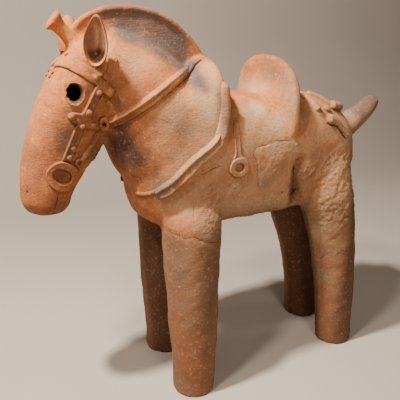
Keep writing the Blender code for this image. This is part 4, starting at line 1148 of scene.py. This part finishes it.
CRUPPER_LOW_BAND = ((0.068, -0.046, 0.672), (0.072, -0.054, 0.668), (0.079, -0.072, 0.658),
                    (0.088, -0.089, 0.643))
CRUPPER_BAND = ((0.095, -0.030, 0.671), (0.108, -0.038, 0.667), (0.121, -0.046, 0.662),
                (0.141, -0.063, 0.647))
CRUPPER_DROP = ((0.136, -0.096, 0.614), (0.142, -0.097, 0.610), (0.154, -0.098, 0.598),
                (0.172, -0.098, 0.578))
CRUPPER_TOP_LUMP = ((0.136, -0.068, 0.645), (0.146, -0.065, 0.643), (0.162, -0.059, 0.640),
                    (0.177, -0.051, 0.634))
CRUPPER_LOW_LUMP = ((0.104, -0.098, 0.622), (0.116, -0.098, 0.621), (0.130, -0.097, 0.618),
                    (0.142, -0.095, 0.612))

# name, path, stations, half width, height, first and last section, share of the width left at its two ends
STRAPS = (
    ("headstall", HEADSTALL, 60, 0.0085, 0.0050, (FLAT,), (1.0, 0.3)),
    ("cheek_strap", CHEEK_STRAP, 130, 0.0092, 0.0068, (RIMMED,), (1.0, 1.0)),
    ("browband", BROWBAND, 80, 0.0125, 0.0038, (LIPPED,), (0.9, 0.9)),
    ("lower_rein", LOWER_REIN, 60, 0.0042, 0.0080, (ROUND,), (0.9, 0.9)),
    ("upper_rein", UPPER_REIN, 200, 0.0115, 0.0108, (REIN_FORE, REIN_AFT), (0.7, 0.6)),
    ("pommel_foot", POMMEL_FOOT, 60, 0.0110, 0.0085, (LIPPED,), (0.15, 0.7)),
    ("breast_strap", BREAST_STRAP, 150, 0.0128, 0.0105, (BANDED,), (0.6, 0.8)),
    ("breast_ridge", BREAST_RIDGE, 50, 0.0042, 0.0058, (ROUND,), (0.8, 0.4)),
    ("stirrup_strap", STIRRUP_STRAP, 80, 0.0068, 0.0034, (RIMMED,), (0.7, 1.7)),
    ("crupper_low_band", CRUPPER_LOW_BAND, 50, 0.0085, 0.0080, (ROUND,), (0.9, 0.9)),
    ("crupper_band", CRUPPER_BAND, 60, 0.0085, 0.0070, (FLAT,), (0.6, 0.9)),
    ("crupper_drop", CRUPPER_DROP, 50, 0.0056, 0.0065, (ROUND,), (1.0, 0.5)),
    ("crupper_top_lump", CRUPPER_TOP_LUMP, 40, 0.0118, 0.0150, (ROUND,), (0.55, 0.50)),
    ("crupper_low_lump", CRUPPER_LOW_LUMP, 40, 0.0115, 0.0135, (ROUND,), (0.50, 0.55)))

# middle, then each stud's place, radius and height
CROSS_PLATES = (
    ((-0.393, -0.061, 0.719),
     ((-0.407, -0.057, 0.731, 0.0066, 0.0130), (-0.387, -0.064, 0.734, 0.0070, 0.0180),
      (-0.402, -0.055, 0.706, 0.0066, 0.0130), (-0.380, -0.065, 0.705, 0.0084, 0.0185))),
    ((-0.435, -0.056, 0.657),
     ((-0.455, -0.057, 0.664, 0.0068, 0.0130), (-0.426, -0.056, 0.670, 0.0066, 0.0130),
      (-0.439, -0.055, 0.645, 0.0064, 0.0125), (-0.418, -0.052, 0.645, 0.0068, 0.0130))))

# name, places, radius, height
PELLETS = (
    ("strap_stud", ((-0.456, -0.053, 0.602), (-0.465, -0.052, 0.586)), 0.0070, 0.0092),
    ("brow_stud", ((-0.447, -0.021, 0.771), (-0.459, -0.015, 0.760), (-0.467, -0.014, 0.751),
                   (-0.474, -0.016, 0.740), (-0.480, -0.012, 0.733)), 0.0042, 0.0034),
    ("crupper_knob", ((0.118, -0.080, 0.642),), 0.0080, 0.0090))

# name, middle, half axes of the hole and of the rim, height, slope of the long axis, lip, squareness
RINGS = (
    ("stirrup", (-0.132, -0.120, 0.545), (0.0107, 0.0094), (0.0223, 0.0212), 0.0070, 0, 0.0, 2.2),
    ("bit_plate", (-0.481, -0.050, 0.550), (0.0200, 0.0135), (0.0305, 0.0292), 0.0080, 38, 0.10, 2.2),
    ("rein_ring", (-0.395, -0.060, 0.640), (0.0050, 0.0050), (0.0135, 0.0130), 0.0088, 0, 0.0, 2.0),
    ("lower_ring", (-0.447, -0.049, 0.573), (0.0042, 0.0042), (0.0086, 0.0086), 0.0066, 0, 0.0, 2.0))


def harness(surface, side):
    """Everything that was rolled, cut and pressed on to one side of the horse."""
    label = dict(SIDES)[side]
    pieces = []
    for number, (name, path, stations, half_width, height, sections, ends) in enumerate(STRAPS):
        pieces.append(strap(surface, name + "_" + label, side, path, stations, half_width, height,
                            sections, ends, number))
    for number, (spot, studs) in enumerate(CROSS_PLATES):
        (spot,) = on_side([spot], side)
        places = on_side([stud[:3] for stud in studs], side)
        pieces.append(cross_plate(surface, "cross_plate_%s_%d" % (label, number), spot, places, PLATE_HEIGHT))
        for count, place in enumerate(places):
            pieces.append(pellet(surface, "cross_stud_%s_%d_%d" % (label, number, count), place,
                                 *studs[count][3:], number + count))
    for name, places, radius, height in PELLETS:
        for number, place in enumerate(on_side(places, side)):
            pieces.append(pellet(surface, "%s_%s_%d" % (name, label, number), place, radius, height,
                                 number))
    for name, middle, hole, rim, height, slope, lip, power in RINGS:
        (spot,) = on_side([middle], side)
        pieces.append(hoop(surface, name + "_" + label, spot, hole, rim, height, -side * slope, lip, power))
    return pieces


# ------------------------------------------------------------------ materials
def linear(code):
    """Hex sRGB colour as linear RGBA."""
    parts = [int(code[k:k + 2], 16) / 255.0 for k in (1, 3, 5)]
    return tuple(c / 12.92 if c <= 0.04045 else ((c + 0.055) / 1.055) ** 2.4 for c in parts) + (1.0,)


def node(tree, kind, inputs=(), **settings):
    """Adds one node; settings are its properties, and inputs pairs each socket with a value or a socket."""
    made = tree.nodes.new(kind)
    for name, value in settings.items():
        setattr(made, name, value)
    for socket, value in dict(inputs).items():
        if isinstance(value, bpy.types.NodeSocket):
            tree.links.new(value, made.inputs[socket])
        else:
            made.inputs[socket].default_value = value
    return made


def mixed(tree, share, first, second):
    """Colour mixed from first to second by share; colours are hex codes or sockets."""
    made = node(tree, "ShaderNodeMix", data_type="RGBA", clamp_factor=True)
    for socket, value in ((made.inputs[0], share), (made.inputs[6], first), (made.inputs[7], second)):
        if isinstance(value, bpy.types.NodeSocket):
            tree.links.new(value, socket)
        else:
            socket.default_value = linear(value) if isinstance(value, str) else value
    return made.outputs[2]


def sums(tree, operation, first, second, third=0.0):
    """Arithmetic on numbers or sockets."""
    made = node(tree, "ShaderNodeMath", {0: first, 1: second, 2: third}, operation=operation)
    return made.outputs[0]


def spread(tree, value, low, high, start=0.0, end=1.0):
    """Smooth step of a socket from start at low to end at high."""
    made = node(tree, "ShaderNodeMapRange", {"Value": value, "From Min": low, "From Max": high,
                                            "To Min": start, "To Max": end},
                interpolation_type="SMOOTHSTEP")
    return made.outputs["Result"]


def millimetres(size):
    """Scale that gives a noise about this grain size in millimetres."""
    return 1000.0 / size


def fired_clay():
    """Low-fired iron-rich earthenware, built by hand, wiped and paddled, and long buried: matt, with a
    sandy orange body that drifts to brown and pink, grey where the fire was starved of air, pale silt in
    the hollows, dark specks of iron and sand, fine scratches from the wiping, and dull crumbly filler.
    In places its grey, pale, olive and dark brown tones are painted shade and painted light."""
    clay = bpy.data.materials.new("haniwa_fired_clay")
    clay.use_nodes = True
    tree = clay.node_tree
    shader = tree.nodes["Principled BSDF"]
    place = node(tree, "ShaderNodeTexCoord").outputs["Object"]
    tone = {name: node(tree, "ShaderNodeAttribute", attribute_name=name).outputs["Fac"]
            for name in ("smoke", "pale", "olive", "rust", "soot", "mend", "crack_away", "crack_wide")}

    def noise(size, detail=3.0, roughness=0.55, at=place, distortion=0.0):
        made = node(tree, "ShaderNodeTexNoise", {"Vector": at, "Scale": millimetres(size), "Detail": detail,
                                                "Roughness": roughness, "Distortion": distortion})
        return made.outputs["Fac"]

    wiped_along = node(tree, "ShaderNodeMapping", {"Vector": place, "Rotation": (0.0, 0.12, 0.0),
                                                   "Scale": (1.0, 1.0, 0.16)}).outputs["Vector"]
    scraped_along = node(tree, "ShaderNodeMapping", {"Vector": place, "Rotation": (0.0, 0.61, 0.0),
                                                     "Scale": (0.4, 1.0, 1.0)}).outputs["Vector"]
    clouds = noise(110.0, 3.0, 0.6)
    blotches = noise(26.0, 4.0, 0.62, distortion=0.6)
    mottle = noise(7.0, 4.0, 0.65)
    sand = noise(2.6, 2.0, 0.6)          # real sand is finer; drawn coarse to be seen at all
    wiping = noise(9.0, 4.0, 0.6, at=wiped_along)
    grit = node(tree, "ShaderNodeTexVoronoi", {"Vector": place,
                                              "Scale": millimetres(5.0)}).outputs["Distance"]
    flecks = node(tree, "ShaderNodeTexVoronoi", {"Vector": place,
                                                "Scale": millimetres(11.0)}).outputs["Distance"]

    def toned(name, pattern, *limits):
        return sums(tree, "MULTIPLY", tone[name], spread(tree, pattern, *limits))

    colour = mixed(tree, spread(tree, clouds, 0.38, 0.64), "#9f5f35", "#be7039")
    filler = mixed(tree, spread(tree, mottle, 0.40, 0.62), "#8d694d", "#c49c76")
    for share, paint in ((spread(tree, blotches, 0.50, 0.72, 0.0, 0.50), "#885738"),
                         (spread(tree, blotches, 0.46, 0.26, 0.0, 0.45), "#cd864d"),
                         # Olive khaki, partly painted light on the grazing-lit sides.
                         (toned("olive", blotches, 0.25, 0.60, 0.55, 1.0), "#ae8b69"),
                         (toned("mend", blotches, 0.30, 0.55, 0.30, 0.80), filler),
                         (toned("rust", blotches, 0.30, 0.60, 0.25, 0.85), "#965538"),
                         # Pale: the clay's own paler tone, and painted light on the pommel's lower front and
                         # inside the ear.
                         (toned("pale", mottle, 0.34, 0.60, 0.45, 1.0), "#d4ad86"),
                         (spread(tree, wiping, 0.52, 0.74, 0.0, 0.28), "#d69158"),
                         # Grey of the fire, and painted shade on the cheek and inside the ear.
                         (toned("smoke", blotches, 0.20, 0.55, 0.6, 1.0), "#5e4f46"),
                         # Dark brown: dirt, and painted shade on the legs, throat, muzzle, creases, hollows,
                         # eye holes and strap edges.
                         (tone["soot"], "#4a3022"),
                         (spread(tree, mottle, 0.53, 0.70, 0.0, 0.55), "#775039"),
                         (spread(tree, mottle, 0.44, 0.30, 0.0, 0.30), "#dcab7c"),
                         (spread(tree, sand, 0.62, 0.76, 0.0, 0.16), "#e6bd92"),
                         (spread(tree, sand, 0.42, 0.30, 0.0, 0.30), "#6d4731"),
                         (spread(tree, grit, 0.17, 0.10, 0.0, 0.40), "#5e4030"),
                         (spread(tree, flecks, 0.07, 0.04, 0.0, 0.40), "#ead0b2")):
        colour = mixed(tree, share, colour, paint)

    # Dark lines along the cracks, and painted shadow along the lees beside the straps.
    wander = sums(tree, "MULTIPLY_ADD", noise(5.0, 2.0), 2.0, -1.0)
    away = sums(tree, "ABSOLUTE", sums(tree, "ADD", tone["crack_away"], wander), 0.0)
    line = spread(tree, sums(tree, "SUBTRACT", tone["crack_wide"], away), -0.1, 0.7)
    colour = mixed(tree, line, colour, "#472a1b")
    tree.links.new(colour, shader.inputs["Base Color"])

    dull = spread(tree, mottle, 0.35, 0.65, 0.80, 0.96)
    tree.links.new(dull, shader.inputs["Roughness"])
    shader.inputs["Specular IOR Level"].default_value = 0.30

    chips = sums(tree, "MULTIPLY", noise(4.0, 4.0, 0.68, at=scraped_along),
                 spread(tree, tone["mend"], 0.05, 0.7, 0.45, 1.0))
    relief = None
    for height, strength, distance, sunk in ((chips, 0.90, 0.0032, False), (wiping, 0.38, 0.0015, False),
                                             (spread(tree, grit, 0.08, 0.24), 0.30, 0.0008, False),
                                             (sand, 0.30, 0.0006, False), (line, 0.80, 0.0012, True)):
        under = {"Normal": relief.outputs[0]} if relief else {}
        relief = node(tree, "ShaderNodeBump", {"Strength": strength, "Distance": distance, "Height": height,
                                              **under}, invert=sunk)
    tree.links.new(relief.outputs[0], shader.inputs["Normal"])
    return clay


def painted_board():
    """Pale matt paint on a smooth board: even and soft, with the faintest roller grain."""
    paint = bpy.data.materials.new("pale_matt_paint")
    paint.use_nodes = True
    tree = paint.node_tree
    shader = tree.nodes["Principled BSDF"]
    place = node(tree, "ShaderNodeTexCoord").outputs["Object"]
    cloudy = node(tree, "ShaderNodeTexNoise", {"Vector": place, "Scale": millimetres(400.0), "Detail": 2.0})
    tree.links.new(mixed(tree, cloudy.outputs["Fac"], "#b3aa9e", "#b9b0a4"), shader.inputs["Base Color"])
    shader.inputs["Roughness"].default_value = 0.85
    return paint


# ------------------------------------------------------------------ putting it together
def studio():
    """Pale sweep: a floor that turns up into a wall behind, its profile carried along X."""
    across = np.linspace(-6.0, 6.0, 13)
    turned = np.linspace(0.0, math.pi / 2, 24)
    middle, radius = 1.2, 0.8
    bend = [(middle + radius * math.sin(a), radius - radius * math.cos(a)) for a in turned]
    profile = np.array([(-6.0, 0.0), (1.0, 0.0)] + bend + [(2.0, 3.4)])
    rows = np.empty((len(profile), len(across), 3))
    rows[..., 0] = across
    rows[..., 1:] = profile[:, None, :]
    index = np.arange(rows.shape[0] * rows.shape[1]).reshape(rows.shape[:2])
    faces = np.stack([index[:-1, :-1], index[:-1, 1:], index[1:, 1:], index[1:, :-1]], axis=-1)
    mesh = bpy.data.meshes.new("studio_sweep")
    mesh.from_pydata(rows.reshape(-1, 3).tolist(), [], faces.reshape(-1, 4).tolist())
    mesh.shade_smooth()
    mesh.materials.append(painted_board())
    added("studio_sweep", mesh)


def lamp(name, spot, aim, size, power, colour):
    """Square soft light at a spot, facing the aim."""
    light = bpy.data.lights.new(name, "AREA")
    light.size = size
    light.energy = power
    light.color = linear(colour)[:3]
    made = bpy.data.objects.new(name, light)
    bpy.context.collection.objects.link(made)
    backward = unit(np.array(spot) - np.array(aim))
    right = unit(np.cross([0.0, 0.0, 1.0], backward))
    up = np.cross(backward, right)
    turned = np.eye(4)
    turned[:3, :4] = np.stack([right, up, backward, np.array(spot)], axis=1)
    made.matrix_world = Matrix(turned.tolist())


def camera():
    """Level with the horse's back, from its front left, looking down a third of a right angle."""
    yaw, pitch, roll = CAMERA_TURN
    forward = np.array([math.sin(yaw) * math.cos(pitch), math.cos(yaw) * math.cos(pitch),
                        -math.sin(pitch)])
    right = unit(np.cross(forward, [0.0, 0.0, 1.0]))
    up = np.cross(right, forward)
    level = math.cos(roll) * right + math.sin(roll) * up
    upright = math.cos(roll) * up - math.sin(roll) * right
    turned = np.eye(4)
    spot = np.array(CAMERA_SPOT) + slide
    turned[:3, :4] = np.stack([level, upright, -forward, spot], axis=1)
    lens = bpy.data.cameras.new("camera")
    lens.lens = 45.0
    lens.sensor_width = 36.0
    lens.clip_start = 0.02
    made = bpy.data.objects.new("camera", lens)
    bpy.context.collection.objects.link(made)
    made.matrix_world = Matrix(turned.tolist())
    bpy.context.scene.camera = made


def light_up():
    """Key high in front, a weaker one lower beside it, soft light from the left, a faint one from behind
    and a dim room."""
    middle = np.array([-0.02, 0.0, 0.62])
    for name, bearing, height, away, size, power in (("key", 192.0, 58.0, 1.9, 0.13, 112.0),
                                                     ("second", 208.0, 49.0, 2.1, 0.20, 30.0),
                                                     ("left", 262.0, 32.0, 2.4, 0.70, 24.0),
                                                     ("back", 350.0, 48.0, 3.0, 0.40, 6.0)):
        turned, raised = math.radians(bearing), math.radians(height)
        towards = np.array([math.cos(turned) * math.cos(raised), math.sin(turned) * math.cos(raised),
                            math.sin(raised)])
        lamp(name, middle + away * towards, middle, size, power, "#fff2e6")
    world = bpy.data.worlds.new("room")
    world.use_nodes = True
    room = world.node_tree.nodes["Background"]
    room.inputs["Color"].default_value = linear("#e2dcd4")
    room.inputs["Strength"].default_value = 0.020
    bpy.context.scene.world = world


body = skin()
laying = Surface(body.data)
body.data.shade_smooth()
pieces = [body]
for side, _ in SIDES:
    pieces += [ear(side), eye_rim(laying, side)]
    pieces += harness(laying, side)

clay = fired_clay()
for piece in pieces:
    piece.data.transform(Matrix.Translation(slide.tolist()))
    piece.data.materials.clear()
    piece.data.materials.append(clay)
    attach(piece, "root")
    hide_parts("haniwa_horse")

studio()
camera()
light_up()
